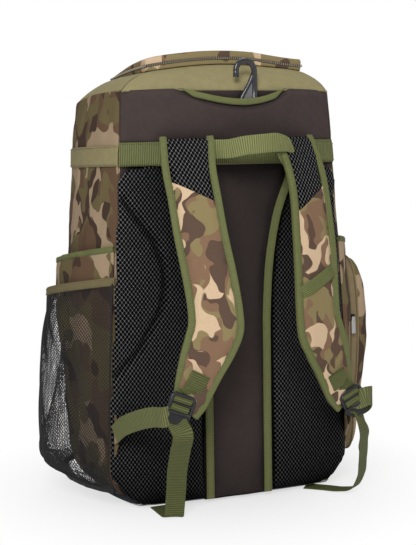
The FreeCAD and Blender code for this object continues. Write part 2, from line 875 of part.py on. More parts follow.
# ---------------------------------------------------------------------------
# Fence hook, its webbing, and the haul handle
# ---------------------------------------------------------------------------
QUARTER = 1 - math.sqrt(0.5)  # sagitta of a quarter circle, as a share of its radius
hook_x = size("hook_x")
hook_bar = size("hook_bar")
hook_inner = size("hook_inner_radius")
hook_outer = hook_inner + hook_bar
hook_shoulder = size("hook_body_top")
hook_arch = hook_shoulder + size("hook_crown") - hook_outer
hook_tip = hook_shoulder + size("hook_tip")
hook_foot = hook_shoulder - size("hook_foot")
hook_right = hook_x + hook_outer
hook_body_right = hook_right + clearance
hook_body_left = hook_body_right - size("hook_body_width")
hook_middle = back - back_bulge(height) - size("hook_bay_depth") / 2
hook_half_thick = size("hook_thick") / 2
node("fence_hook", prism("fence_hook", "XZ", [[
    (hook_body_left, hook_foot), (hook_body_right, hook_foot), (hook_body_right, hook_shoulder),
    (hook_right, hook_shoulder), (hook_right, hook_arch, QUARTER * hook_outer),
    (hook_x, hook_arch + hook_outer, QUARTER * hook_outer), (hook_x - hook_outer, hook_arch),
    (hook_x - hook_outer, hook_tip), (hook_x - hook_inner, hook_tip),
    (hook_x - hook_inner, hook_arch, -QUARTER * hook_inner),
    (hook_x, hook_arch + hook_inner, -QUARTER * hook_inner), (hook_x + hook_inner, hook_arch),
    (hook_x + hook_inner, hook_shoulder), (hook_body_left, hook_shoulder),
]], hook_middle - hook_half_thick, hook_middle + hook_half_thick))
webbing_middle = (hook_body_left + hook_body_right) / 2
webbing_half = size("hook_webbing_width") / 2
webbing_half_thick = size("hook_webbing_thick") / 2
node("hook_webbing", box(
    "hook_webbing",
    (webbing_middle - webbing_half, hook_middle - webbing_half_thick, bay_floor + clearance),
    (webbing_middle + webbing_half, hook_middle + webbing_half_thick, hook_foot),
))

handle_span = size("handle_half_span")
handle_thick = size("handle_thick")
handle_top = size("handle_top")
handle_bow = size("handle_bow")


def layer_face(level, across):
    """How far the padded yoke stands out at a level, this far from the middle."""
    share = across / half_width(level)
    return back - size("band_edge") - (back_bulge(level) + size("yoke_fullness")) * (1 - share * share)


handle_root = layer_face(handle_top, handle_span - handle_thick) - 2 * clearance
handle_inner = handle_span - handle_thick
node("haul_handle", prism("haul_handle", "XY", [[
    (-handle_span, handle_root, handle_bow), (handle_span, handle_root),
    (handle_inner, handle_root, handle_thick - handle_bow), (-handle_inner, handle_root),
]], handle_top - size("handle_webbing"), handle_top))

# ---------------------------------------------------------------------------
# Shoulder straps: a bowed side profile crossed with an S-shaped front outline
# ---------------------------------------------------------------------------
strap_top = band_top - size("strap_top")
strap_thick = size("strap_thick")
knee = size("strap_knee_level")
tip_low = size("strap_tip_low")
tip_high = size("strap_tip_high")
strap_root = layer_face(strap_top, size("strap_root_in")) - 2 * clearance
knee_inner = back - size("strap_stand_off")
tip_inner = back - size("strap_tip_stand_off")
strap_bow = size("strap_bow")


def strap_slab(name, start, end):
    """Everything between two depths of the strap, counted from its inner face outwards."""
    return prism(name, "YZ", [[
        (strap_root - start, strap_top), (strap_root - end, strap_top, strap_bow), (knee_inner - end, knee),
        (tip_inner - end, tip_low), (tip_inner - start, tip_low), (knee_inner - start, knee, -strap_bow),
    ]], -FAR, FAR)


proud = size("strap_binding_proud")
webbing_thick = size("webbing_thick")
strap_core = strap_slab("strap_core", Size.of(0), strap_thick)
strap_edge = strap_slab("strap_edge", clearance, strap_thick + proud)
strap_face = strap_slab("strap_face", strap_thick, strap_thick + webbing_thick)

shoulder_level = size("strap_shoulder_level")
waist_level = size("strap_waist_level")
edge = size("strap_binding")
inner_edge = [
    (size("strap_root_in"), strap_top), (size("strap_shoulder_in"), shoulder_level),
    (size("strap_waist_in"), waist_level), (size("strap_tip_in"), tip_low),
]
outer_edge = [
    (size("strap_root_out"), strap_top), (size("strap_shoulder_out"), shoulder_level),
    (size("strap_waist_out"), waist_level), (size("strap_tip_out"), tip_high),
]
tip_share = edge / (size("strap_tip_out") - size("strap_tip_in"))
inner_pad = [(u + edge, v) for u, v in inner_edge[:3]]
inner_pad.append((inner_edge[3][0] + edge, between(tip_low, tip_high, tip_share)))
outer_pad = [(u - edge, v) for u, v in outer_edge[:3]]
outer_pad.append((outer_edge[3][0] - edge, between(tip_high, tip_low, tip_share)))

patch_top = size("patch_top")
patch_low = size("patch_low")
half_webbing = size("webbing") / 2
patch_outline = [
    (size("patch_low_x") - half_webbing, patch_low), (size("patch_low_x") + half_webbing, patch_low),
    (size("patch_top_x") + half_webbing, patch_top), (size("patch_top_x") - half_webbing, patch_top),
]
pad_outlines = {}
for side_name, side in SIDES:
    outline = mirrored(inner_pad + outer_pad[::-1], side)
    pad_outline = prism(f"strap_outline_{side_name}", "XZ", [outline], -FAR, 0)
    pad_outlines[side_name] = pad_outline
    node(f"shoulder_strap_{side_name}", common(f"shoulder_strap_{side_name}", strap_core, pad_outline))
    strips = [mirrored(inner_edge + inner_pad[::-1], side), mirrored(outer_edge + outer_pad[::-1], side)]
    strips_outline = prism(f"strap_strips_{side_name}", "XZ", strips, -FAR, 0)
    node(f"strap_bindings_{side_name}", common(f"strap_bindings_{side_name}", strap_edge, strips_outline))
    patch_zone = prism(f"patch_zone_{side_name}", "XZ", [mirrored(patch_outline, side)], -FAR, 0)
    patch = common(f"strap_patch_{side_name}", strap_face, patch_zone, pad_outline)
    node(f"strap_patch_{side_name}", patch)

# the keeper rises by keeper_rise from the middle of the back to the strap's outer edge
keeper_low = size("keeper_low")
keeper_top = keeper_low + size("keeper_webbing")
keeper_climb = size("keeper_rise") * FAR / size("strap_waist_out")
keeper_zone = prism("keeper_zone", "XZ", [[
    (0, keeper_low), (FAR, keeper_low + keeper_climb), (FAR, keeper_top + keeper_climb), (0, keeper_top),
]], -FAR, 0)
node("strap_keeper_right", common("strap_keeper_right", strap_face, keeper_zone, pad_outlines["right"]))

# ---------------------------------------------------------------------------
# Ladder locks, adjuster webbing, webbing tails and side tabs
# ---------------------------------------------------------------------------
lock_half = size("lock_width") / 2
lock_long = size("lock_length") / 2
rail = size("lock_rail")
lock_level = size("lock_level")
# the lock lies flat on the outermost part of the strap that it covers
lock_crown = (lock_level + lock_long + lock_half / 2 - tip_low) / (knee - tip_low)
lock_face = between(tip_inner, knee_inner, lock_crown) - strap_thick - webbing_thick - clearance
lock_slot = (2 * lock_long - 3 * rail) / 2
tab_layer_face = back - size("pad_thick") - size("tab_thick")
tab_layer = back_layer("tab_layer", size("pad_thick") + size("tab_thick"), Size.of(0))
tab_top = size("tab_top")
tab_low = size("tab_low")
tab_level = size("adjuster_tab_level")
tab_reach = size("tab_reach")
tab_half = half_width(tab_level)
lock_x = size("lock_x")
lock_tilt = size("lock_tilt")
half_thick = webbing_thick / 2
webbing_gap = size("webbing_gap")
adjuster_start = tab_layer_face - webbing_gap
adjuster_end = lock_face + 2 * clearance
adjuster_x = size("adjuster_lock_x")
adjuster_level = size("adjuster_lock_level")
adjuster_bow = size("adjuster_bow")
tail_x = size("tail_x")
tail_face = lock_face + clearance
tail_top = lock_level - lock_long - webbing_gap
tail_fold = back - size("tail_fold")
tail_knee = back - size("tail_knee")
tail_knee_level = size("tail_knee_level")
tail_tuck = back - size("tail_tuck")
for side_name, side in SIDES:
    lock = prism(f"ladder_lock_{side_name}", "XZ", [
        [(-lock_half, -lock_long), (lock_half, -lock_long),
         (lock_half, lock_long), (-lock_half, lock_long)],
        [(rail - lock_half, rail / 2), (lock_half - rail, rail / 2),
         (lock_half - rail, rail / 2 + lock_slot), (rail - lock_half, rail / 2 + lock_slot)],
        [(rail - lock_half, -rail / 2 - lock_slot), (lock_half - rail, -rail / 2 - lock_slot),
         (lock_half - rail, -rail / 2), (rail - lock_half, -rail / 2)],
    ], -size("lock_thick"), 0)
    lock.Placement = FreeCAD.Placement(FreeCAD.Vector(), FreeCAD.Rotation(FreeCAD.Vector(0, 1, 0), 0))
    drive(lock, "Placement.Rotation.Angle", -side * lock_tilt)
    drive(lock, "Placement.Base.x", side * lock_x)
    drive(lock, "Placement.Base.y", lock_face)
    drive(lock, "Placement.Base.z", lock_level)
    node(f"ladder_lock_{side_name}", lock)

    triangle = [(tab_half + tab_reach, tab_low), (tab_half - tab_reach, tab_level - half_webbing),
                (tab_half - tab_reach, tab_level + half_webbing), (tab_half + tab_reach, tab_top)]
    tab_zone = prism(f"tab_zone_{side_name}", "XZ", [mirrored(triangle, side)], -FAR, 0)
    tab = common(f"tab_piece_{side_name}", tab_layer, tab_zone)
    node(f"anchor_tab_{side_name}", cut(f"anchor_tab_{side_name}", tab, pad_layer))

    middle_x = (tab_half - tab_reach + adjuster_x) / 2 + adjuster_bow
    middle_y = (adjuster_start + adjuster_end) / 2
    path = [(tab_half - tab_reach, adjuster_start), (middle_x, middle_y), (adjuster_x, adjuster_end)]
    ribbon = [(u + half_thick, v) for u, v in path] + [(u - half_thick, v) for u, v in path[::-1]]
    ribbon_zone = prism(f"ribbon_zone_{side_name}", "XY", [mirrored(ribbon, side)], 0, FAR)
    slope_zone = prism(f"slope_zone_{side_name}", "YZ", [[
        (adjuster_start, tab_level - half_webbing), (adjuster_start, tab_level + half_webbing),
        (adjuster_end, adjuster_level + half_webbing), (adjuster_end, adjuster_level - half_webbing),
    ]], -FAR, FAR)
    node(f"adjuster_webbing_{side_name}", common(f"adjuster_webbing_{side_name}", ribbon_zone, slope_zone))

    low_x, high_x = side * tail_x - half_webbing, side * tail_x + half_webbing
    node(f"strap_tail_{side_name}", prism(f"strap_tail_{side_name}", "YZ", [[
        (tail_face, tail_top), (tail_knee - webbing_thick, tail_knee_level),
        (tail_fold - webbing_thick, clearance), (tail_tuck, clearance),
        (tail_tuck, clearance + webbing_thick), (tail_fold, clearance + webbing_thick),
        (tail_knee, tail_knee_level), (tail_face + webbing_thick, tail_top),
    ]], low_x, high_x))

# ---------------------------------------------------------------------------
# Inside: frame sheet behind the back, laptop divider, base board
# ---------------------------------------------------------------------------
sheet_thick = size("sheet_thick")
margin = size("sheet_margin")
sections = []
for level, half, _, bulge, _, _ in inside_levels:
    sections.append((level, [
        (cloth - half, back + cloth, bulge), (half - cloth, back + cloth),
        (half - cloth, back + cloth + sheet_thick, -bulge), (cloth - half, back + cloth + sheet_thick),
    ]))
sheet_layer = loft("sheet_layer", sections)
sheet_half = half_width(height) - margin
board_top = cloth + size("board_thick")
sheet_zone = box("sheet_zone", (-sheet_half, -FAR, board_top + margin), (sheet_half, 0, height - margin))
node("frame_sheet", common("frame_sheet", sheet_layer, sheet_zone))
board_zone = box("board_zone", (-FAR, -FAR, cloth), (FAR, FAR, board_top))
node("base_board", common("base_board", tub_inside, board_zone))
divider_near = back + cloth + size("divider_gap")
divider_far = divider_near + size("divider_thick")
divider_zone = box(
    "divider_zone", (-FAR, divider_near, board_top), (FAR, divider_far, size("divider_height")),
)
node("inner_divider", common("inner_divider", tub_inside, divider_zone))

# ---------------------------------------------------------------------------
# Rebuild, test and write every sub-part
# ---------------------------------------------------------------------------
doc.recompute()
for thing in doc.Objects:
    if "Invalid" in thing.State or "Error" in thing.State:
        raise RuntimeError(f"{thing.Label} did not rebuild: {thing.State}")
for thing in NODES:
    if thing.Shape.isNull() or not thing.Shape.isValid() or not thing.Shape.Solids:
        raise RuntimeError(f"{thing.Label} has no valid solid")

os.makedirs("parts", exist_ok=True)
for thing in NODES:
    thing.Shape.exportStep(f"parts/{thing.Label}.step")
    print(thing.Label, "solids", len(thing.Shape.Solids), "volume", round(thing.Shape.Volume))
print(len(NODES), "sub-parts")
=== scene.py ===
# %% [markdown]
# # A camouflage equipment backpack
# A soft pack is a set of flat cloth panels that are sewn, padded and taped into a shape. The
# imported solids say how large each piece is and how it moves. This script dresses them: every
# panel, pad, strap, webbing, zip and buckle becomes a surface with its own cloth or plastic.
# Lengths are metres. +Z is up, the wearer's side faces -Y and the pack stands on its base.

# %% Load the frame
import json
import math

import bpy
import numpy as np
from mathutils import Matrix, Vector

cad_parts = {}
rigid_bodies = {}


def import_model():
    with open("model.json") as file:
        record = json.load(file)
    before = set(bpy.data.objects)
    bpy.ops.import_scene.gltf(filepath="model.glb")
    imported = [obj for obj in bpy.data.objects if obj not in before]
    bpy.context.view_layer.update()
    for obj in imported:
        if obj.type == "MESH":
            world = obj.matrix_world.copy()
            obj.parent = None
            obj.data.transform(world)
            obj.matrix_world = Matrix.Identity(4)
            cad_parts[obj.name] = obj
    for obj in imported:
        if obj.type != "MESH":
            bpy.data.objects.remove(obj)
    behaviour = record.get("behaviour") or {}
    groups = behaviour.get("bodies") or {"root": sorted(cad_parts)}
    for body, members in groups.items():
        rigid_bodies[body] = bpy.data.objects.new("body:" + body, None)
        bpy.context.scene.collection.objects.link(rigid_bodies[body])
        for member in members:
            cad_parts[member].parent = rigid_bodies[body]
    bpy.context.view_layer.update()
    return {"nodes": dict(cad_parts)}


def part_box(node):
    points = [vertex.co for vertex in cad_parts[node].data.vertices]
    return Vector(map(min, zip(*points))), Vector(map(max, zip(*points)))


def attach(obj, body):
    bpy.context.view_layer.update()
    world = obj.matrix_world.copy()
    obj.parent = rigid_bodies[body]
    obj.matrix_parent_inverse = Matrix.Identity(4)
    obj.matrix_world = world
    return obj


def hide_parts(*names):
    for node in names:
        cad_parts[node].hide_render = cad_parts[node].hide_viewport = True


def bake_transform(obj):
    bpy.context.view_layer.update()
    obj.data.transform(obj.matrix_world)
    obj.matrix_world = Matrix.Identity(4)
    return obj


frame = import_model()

# %% [markdown]
# ## The shapes that everything follows
# The body is a tapered tub with bowed walls. Its plan at each level is given by half a width
# and by how far each wall bows out, so the panels, pads, bands and pockets can all ask the same
# functions where they lie.

# %% Body shape
MM = 0.001
HEIGHT = 539 * MM  # the seam between the body and the top yoke
BACK = -117.5 * MM  # the corner lines on the wearer's side
FRONT = 117.5 * MM
BASE_HALF, TOP_HALF = 174.5 * MM, 145.3 * MM
CORNER = 58 * MM  # the base's corners start to round in below this
SIDES = (("left", -1), ("right", 1))


def lerp(low, high, share):
    return low + (high - low) * share


def ease(share):
    """0 to 1 with a level start and end: 3s² - 2s³."""
    share = np.clip(share, 0, 1)
    return share * share * (3 - 2 * share)


def xyz(x, y, z):
    """Three columns side by side, arrays or single numbers: points, or the corners of triangles."""
    return np.stack(np.broadcast_arrays(x, y, z), axis=-1)


def crossed(across, along):
    """Two grids of places that cross, each from a start, an end and a count."""
    return np.meshgrid(np.linspace(*across), np.linspace(*along), indexing="ij")


def half_width(z):
    """Half the body's width between its corner lines: straight above, a parabola near the base."""
    return lerp(BASE_HALF, TOP_HALF, z / HEIGHT) - 36 * MM * np.clip(1 - z / CORNER, 0, 1) ** 2


def back_bow(z):
    return lerp(4, 18, z / HEIGHT) * MM


def side_bow(z):
    """How far a side wall bows out: it is drawn in towards the base, where the pack is empty."""
    drawn = 12 * np.clip(1 - z / CORNER, 0, 1) ** 2 + 13 * (1 - ease(z / (230 * MM)))
    drawn = drawn + 2.5 * ease((z - 380 * MM) / (60 * MM)) + 7 * ease((z - 490 * MM) / (50 * MM))
    return (lerp(34, 26, z / HEIGHT) - drawn) * MM


def back_face(x, z, out=0.0, fullness=0.0):
    """The y of a layer on the back: the corner line, minus a parabola across the width."""
    share = np.clip(x / half_width(z), -1, 1)
    return BACK - out - (back_bow(z) + fullness) * (1 - share * share)


def spline(knots, values, where):
    """A smooth curve through values at knots. Each span is a cubic, and each knot's slope is
    the one of its two neighbours."""
    knots, values = np.asarray(knots, float), np.asarray(values, float)
    slope = np.gradient(values, knots, axis=0)
    where = np.clip(np.asarray(where, float), knots[0], knots[-1])
    i = np.clip(np.searchsorted(knots, where, side="right") - 1, 0, len(knots) - 2)
    width = knots[i + 1] - knots[i]
    s = (where - knots[i]) / width
    if values.ndim > 1:
        width, s = width[..., None], s[..., None]
    start, end = values[i], values[i + 1]
    rise = (2 * s ** 3 - 3 * s ** 2 + 1) * start + (3 * s ** 2 - 2 * s ** 3) * end
    return rise + width * ((s ** 3 - 2 * s ** 2 + s) * slope[i] + (s ** 3 - s ** 2) * slope[i + 1])


def walked(path):
    """The distance walked along a path up to each of its points."""
    return np.r_[0, np.cumsum(np.linalg.norm(np.diff(path, axis=0), axis=1))]


def evenly(path, count, closed=False):
    """A path with its points set at even distances. A closed one doesn't repeat its start."""
    run = walked(path)
    even = np.linspace(0, run[-1], count, endpoint=not closed)
    return np.stack([np.interp(even, run, column) for column in path.T], axis=1)


def smooth_path(points, count):
    """A smooth line through a few points given in millimetres, evenly spaced along its length."""
    points = np.asarray(points, float) * MM
    along = walked(points)
    return evenly(spline(along, points, np.linspace(0, along[-1], 20 * count)), count)


def softened(loop, rounds):
    """A closed line, each point moved to the mean of itself, twice, and its two neighbours."""
    for _ in range(rounds):
        loop = (np.roll(loop, 1, 0) + 2 * loop + np.roll(loop, -1, 0)) / 4
    return loop


WAVES = 7


def ripples(u, v, seed, length=60 * MM):
    """Soft creases, about -1 to 1: the mean of plane waves of random direction and length."""
    chance = np.random.default_rng(seed)
    total = np.zeros(np.broadcast(u, v).shape)
    for _ in range(WAVES):
        turn, phase = chance.uniform(0, math.pi), chance.uniform(0, 2 * math.pi)
        pitch = 2 * math.pi / (length * chance.uniform(0.55, 1.8))
        total += np.cos(pitch * (u * math.cos(turn) + v * math.sin(turn)) + phase)
    return total / WAVES * 1.6


# %% [markdown]
# ## From a grid of points to a piece
# A cloth panel is a grid of points (u across, v along), worked out as whole arrays. It gets a
# wall by moving each point in along its normal and closing the rim. Webbing and cords are a
# section carried along a path. Both get a UV map in metres, so that a weave keeps its real size.

# %% Mesh helpers
def unit(vectors):
    return vectors / np.maximum(np.linalg.norm(vectors, axis=-1, keepdims=True), 1e-12)


def build(name, points, quads, tris=None, uv=None):
    """A mesh from arrays of points, four-cornered and three-cornered faces."""
    tris = np.zeros((0, 3), int) if tris is None else np.asarray(tris)
    corners = np.concatenate([np.ravel(quads), np.ravel(tris)]).astype(np.int32)
    starts = np.r_[np.arange(len(quads)) * 4, len(quads) * 4 + np.arange(len(tris)) * 3]
    mesh = bpy.data.meshes.new(name)
    mesh.vertices.add(len(points))
    mesh.vertices.foreach_set("co", np.ravel(points).astype(np.float32))
    mesh.loops.add(len(corners))
    mesh.loops.foreach_set("vertex_index", corners)
    mesh.polygons.add(len(starts))
    mesh.polygons.foreach_set("loop_start", starts.astype(np.int32))
    mesh.update(calc_edges=True)
    mesh.shade_smooth()
    if uv is not None:
        layer = mesh.uv_layers.new(name="cloth")
        layer.uv.foreach_set("vector", uv[corners].astype(np.float32).ravel())
    return mesh


SEWN = []  # the pieces that are sewn to the body


def in_scene(name, data):
    """A new object of the scene, made from a mesh, a lamp or a lens."""
    made = bpy.data.objects.new(name, data)
    bpy.context.scene.collection.objects.link(made)
    return made


def place(mesh, paint, body="root", stands_for=()):
    """Makes the mesh a piece of the pack that rides on a body. With body None it rides on no body."""
    piece = in_scene(mesh.name, mesh)
    mesh.materials.append(paint)
    if body == "root":
        SEWN.append(piece)
    if body:
        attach(piece, body)
    if stands_for:
        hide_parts(*stands_for)
    return piece


def cells(rows, columns, loop_rows=False, loop_columns=False, start=0):
    """The quads between neighbouring points of a grid whose points are numbered row by row."""
    index = start + np.arange(rows * columns).reshape(rows, columns)
    if loop_rows:
        index = np.vstack([index, index[:1]])
    if loop_columns:
        index = np.hstack([index, index[:, :1]])
    around = [index[:-1, :-1], index[1:, :-1], index[1:, 1:], index[:-1, 1:]]
    return np.stack(around, axis=-1).reshape(-1, 4)


def grid_normals(grid):
    return unit(np.cross(np.gradient(grid, axis=0), np.gradient(grid, axis=1)))


def metric(grid):
    """UV in metres: distances walked along the rows and the columns of the grid."""
    u = np.linalg.norm(np.diff(grid, axis=0, prepend=grid[:1]), axis=2).cumsum(0)
    v = np.linalg.norm(np.diff(grid, axis=1, prepend=grid[:, :1]), axis=2).cumsum(1)
    return np.stack([u, v], axis=-1)


def facing(grid, outwards):
    """The grid with its rows turned round, if needed, so that its normals look outwards: a
    direction, or one direction for each point."""
    turn = (grid_normals(grid) * outwards).sum(axis=-1).mean()
    return grid if turn > 0 else grid[::-1]


def wall(name, grid, thick, outwards, loop=False):
    """A closed wall: the outer grid, the same grid moved in along its normals by one thickness
    or one for each point, and a rim. With loop, the columns run round and meet."""
    turned = facing(grid, outwards)
    thick = np.broadcast_to(thick, grid.shape[:2])[..., None]
    thick = thick if turned is grid else thick[::-1]
    grid = turned
    rows, columns = grid.shape[:2]
    wrapped = np.concatenate([grid[:, -2:], grid, grid[:, :2]], axis=1) if loop else grid
    normals = grid_normals(wrapped)
    inner = grid - (normals[:, 2:-2] if loop else normals) * thick
    points = np.concatenate([grid.reshape(-1, 3), inner.reshape(-1, 3)])
    shift = rows * columns
    outer_quads = cells(rows, columns, loop_columns=loop)
    inner_quads = cells(rows, columns, loop_columns=loop, start=shift)[:, ::-1]
    index = np.arange(shift).reshape(rows, columns)
    if loop:
        index = np.hstack([index, index[:, :1]])
        edges = [index[0][::-1], index[-1]]
    else:
        near, far = index[1:, 0], index[-2:0:-1, -1]
        edges = [np.concatenate([index[0, ::-1], near, index[-1, 1:], far, index[0, -1:]])]
    rims = [np.stack([e[1:], e[:-1], e[:-1] + shift, e[1:] + shift], axis=1) for e in edges]
    uv = np.tile(metric(grid).reshape(-1, 2), (2, 1))
    return build(name, points, np.concatenate([outer_quads, inner_quads, *rims]), uv=uv)


def carried(name, path, across, section, closed=False):
    """A section carried along a path. section holds (a, b) for each of its points, and the point
    is path + a·across + b·normal, where normal = across x tangent. The ends are closed by fans."""
    path, across = np.asarray(path, float), np.broadcast_to(across, np.shape(path))
    if closed:
        tangent = unit(np.roll(path, -1, 0) - np.roll(path, 1, 0))
    else:
        tangent = unit(np.gradient(path, axis=0))
    across = unit(across - (across * tangent).sum(1, keepdims=True) * tangent)
    normal = np.cross(across, tangent)
    section = np.broadcast_to(section, (len(path),) + np.shape(section)[-2:])
    points = path[:, None] + section[..., :1] * across[:, None] + section[..., 1:] * normal[:, None]
    rows, columns = points.shape[:2]
    quads = cells(rows, columns, loop_rows=closed, loop_columns=True)
    run = walked(path)
    uv = np.stack([section[..., 0], np.broadcast_to(run[:, None], (rows, columns))], axis=-1)
    points, uv = points.reshape(-1, 3), uv.reshape(-1, 2)
    if closed:
        return build(name, points, quads, uv=uv)
    ring = np.arange(columns)
    end_ring = ring + (rows - 1) * columns
    first, last = len(points), len(points) + 1
    fans = np.concatenate([xyz(first, np.roll(ring, -1), ring), xyz(last, end_ring, np.roll(end_ring, -1))])
    points = np.concatenate([points, path[:1], path[-1:]])
    uv = np.concatenate([uv, [[0, 0], [0, run[-1]]]])
    return build(name, points, quads, fans, uv)


def oval(width, thick, square=0.35, count=16):
    """A flat section with rounded edges: a superellipse, squarer for a smaller power."""
    turn = np.linspace(0, 2 * math.pi, count, endpoint=False)
    a = width / 2 * np.sign(np.cos(turn)) * np.abs(np.cos(turn)) ** square
    b = thick / 2 * np.sign(np.sin(turn)) * np.abs(np.sin(turn)) ** min(1, 2.2 * square)
    return np.stack([a, b], axis=1)


def scaled(section, widths):
    """The section once for each width, with its own width times that."""
    return section[None] * np.stack([widths, np.ones(len(widths))], axis=1)[:, None]


def read(items, key, kind, each=1):
    """One value, or a few, of each vertex, corner or face of a mesh."""
    values = np.empty(len(items) * each, kind)
    items.foreach_get(key, values)
    return values


def read_points(mesh):
    return read(mesh.vertices, "co", np.float32, 3).reshape(-1, 3).astype(float)


def write_points(mesh, points):
    mesh.vertices.foreach_set("co", np.ravel(points).astype(np.float32))
    mesh.update()


def joined(name, meshes):
    """Several meshes as one, each with its own UV, and the parts deleted."""
    points, quads, tris, uvs, start = [], [], [], [], 0
    for mesh in meshes:
        corner = read(mesh.loops, "vertex_index", np.int32)
        total = read(mesh.polygons, "loop_total", np.int32)
        uv = np.zeros((len(mesh.vertices), 2), np.float32)
        if mesh.uv_layers:
            uv[corner] = read(mesh.uv_layers[0].uv, "vector", np.float32, 2).reshape(-1, 2)
        fours = int((total == 4).sum())
        quads.append(corner[:fours * 4].reshape(-1, 4) + start)
        tris.append(corner[fours * 4:].reshape(-1, 3) + start)
        points.append(read_points(mesh))
        uvs.append(uv)
        start += len(mesh.vertices)
        bpy.data.meshes.remove(mesh)
    return build(name, *(np.concatenate(part) for part in (points, quads, tris, uvs)))


def lenses(name, middle, along, up, length, radius):
    """Tiny lens shapes, all in one mesh: each lies at its middle, along its own direction."""
    ring, steps = 6, np.linspace(-1, 1, 5)
    swell = np.sqrt(1 - steps ** 2) * 0.95 + 0.05
    turn = np.arange(ring) * 2 * math.pi / ring
    beside = np.cross(along, up)
    cosine, sine = np.cos(turn)[None, :, None], np.sin(turn)[None, :, None]
    round_it = cosine * beside[:, None] + sine * up[:, None]
    spine = steps[None, :, None] * along[:, None] * length / 2 + middle[:, None]
    points = spine[:, :, None] + radius * swell[None, :, None, None] * round_it[:, None]
    starts = len(steps) * ring * np.arange(len(middle))
    quads = cells(len(steps), ring, loop_columns=True)[None] + starts[:, None, None]
    return build(name, points.reshape(-1, 3), quads.reshape(-1, 4))


def spaced(path, outwards, pitch):
    """Places along a path at an even pitch, with the direction of the path and outwards there."""
    run = walked(path)
    at = np.arange(pitch / 2, run[-1] - pitch / 4, pitch)
    out = unit(np.broadcast_to(outwards, path.shape))

    def along_path(values, where_to):
        return np.stack([np.interp(where_to, run, values[:, k]) for k in range(3)], axis=1)

    middle = along_path(path, at)
    return middle, unit(along_path(path, at + pitch / 4) - middle), unit(along_path(out, at))


STITCH, STITCH_GAP, STITCH_RADIUS = 2.6 * MM, 1.2 * MM, 0.42 * MM


def stitching(name, rows):
    """Running stitches along rows of (path, outwards), level with each path."""
    parts = [spaced(path, outwards, STITCH + STITCH_GAP) for path, outwards in rows]
    middle, along, up = (np.concatenate([part[k] for part in parts]) for k in range(3))
    return lenses(name, middle, along, up, STITCH, STITCH_RADIUS)


def zip_teeth(name, path, outwards, length, pitch=1.5 * MM, radius=0.6 * MM):
    """The teeth of a coil zip: lenses that lie across its path."""
    middle, along, up = spaced(path, outwards, pitch)
    return lenses(name, middle, unit(np.cross(up, along)), up, length, radius)


print("helpers ready")

# %% [markdown]
# ## Cloths and plastics
# Colours are written the way a display shows them and turned into light values. Each cloth has
# its own weave as a fine bump. Woven tape is striped across its length by its UV map, air mesh is
# a knit of dark diamond holes, and camouflage is printed: a few noises, each cut at a level, lay
# sand, brown and dark blotches over the olive ground. Brown twill and air mesh carry painted shade
# where other pieces stand close in front of them. The darker copies of the camouflage, the olive
# cloth and the green webbing are painted shade too.

# %% Materials
BLACK = [0, 0, 0, 1]
# how far the painted shade in hollows reaches for pieces that stand in front of a cloth
PAINTED_SHADE_REACH = 150 * MM
MOTTLE = 0.10  # how uneven a plain cloth's colour is


def rgb(red, green, blue):
    """A display colour, 0 to 255, as linear light: c/12.92 near black, else ((c+.055)/1.055)^2.4."""
    tone = np.array([red, green, blue]) / 255
    tone = np.where(tone <= 0.04045, tone / 12.92, ((tone + 0.055) / 1.055) ** 2.4)
    return (*tone.tolist(), 1.0)


def add(tree, kind, values=None, **settings):
    """A shader node. values holds its inputs by name or number: a value, or another output."""
    made = tree.nodes.new("ShaderNode" + kind)
    for key, setting in settings.items():
        setattr(made, key, setting)
    for key, value in (values or {}).items():
        if isinstance(value, bpy.types.NodeSocket):
            tree.links.new(value, made.inputs[key])
        else:
            made.inputs[key].default_value = value
    return made


def finish(name, colour, rough, **shader):
    """A material of one colour. shader holds other inputs of its Principled shader."""
    material = bpy.data.materials.new(name)
    material.use_nodes = True
    tree = material.node_tree
    surface = tree.nodes["Principled BSDF"]
    surface.inputs["Base Color"].default_value = colour
    surface.inputs["Roughness"].default_value = rough
    for key, value in shader.items():
        surface.inputs[key.replace("_", " ")].default_value = value
    return material, tree, surface


def mixed(tree, share, low, high):
    """A colour between two, by share."""
    return add(tree, "Mix", {0: share, 6: low, 7: high}, data_type="RGBA").outputs[2]


def dimmed(tree, shade, share):
    """The colour with only a share of its light."""
    return mixed(tree, share, BLACK, shade)


def toned(colour, share):
    """A plain colour times a share, and opaque."""
    return [c * share for c in colour[:3]] + [1]


def maths(tree, operation, first, second=0.0, third=0.0):
    return add(tree, "Math", {0: first, 1: second, 2: third}, operation=operation).outputs[0]


def where(tree):
    """Places in metres, in the pack's own frame."""
    return add(tree, "TexCoord").outputs["Object"]


def bump(tree, surface, height, depth, strength=1.0):
    made = add(tree, "Bump", {"Height": height, "Distance": depth, "Strength": strength})
    tree.links.new(made.outputs[0], surface.inputs["Normal"])


def noise(tree, vector, size, detail=2.0, rough=0.5):
    """Noise whose blotches are about size metres across."""
    return add(tree, "TexNoise", {"Vector": vector, "Scale": 1 / size, "Detail": detail,
                                  "Roughness": rough}).outputs["Fac"]


def moved(tree, vector, shift, scale=(1, 1, 1)):
    return add(tree, "Mapping", {"Vector": vector, "Location": shift, "Scale": scale}).outputs[0]


def weave(tree, surface, vector, thread, depth):
    """The fine crossing threads of a plain woven cloth."""
    parts = []
    for axis in ("X", "Y", "Z"):
        parts.append(add(tree, "TexWave", {"Vector": vector, "Scale": 0.3142 / thread, "Distortion": 0.6,
                                           "Detail": 1.0}, bands_direction=axis).outputs["Fac"])
    height = maths(tree, "ADD", maths(tree, "ADD", parts[0], parts[1]), parts[2])
    bump(tree, surface, height, depth, 0.6)


def with_painted_shade(tree, shade, power):
    """Painted shade: the colour darkened where other pieces stand close in front of the cloth."""
    unshaded_share = add(tree, "AmbientOcclusion", {"Distance": PAINTED_SHADE_REACH}, samples=8).outputs["AO"]
    return dimmed(tree, shade, maths(tree, "POWER", unshaded_share, power))


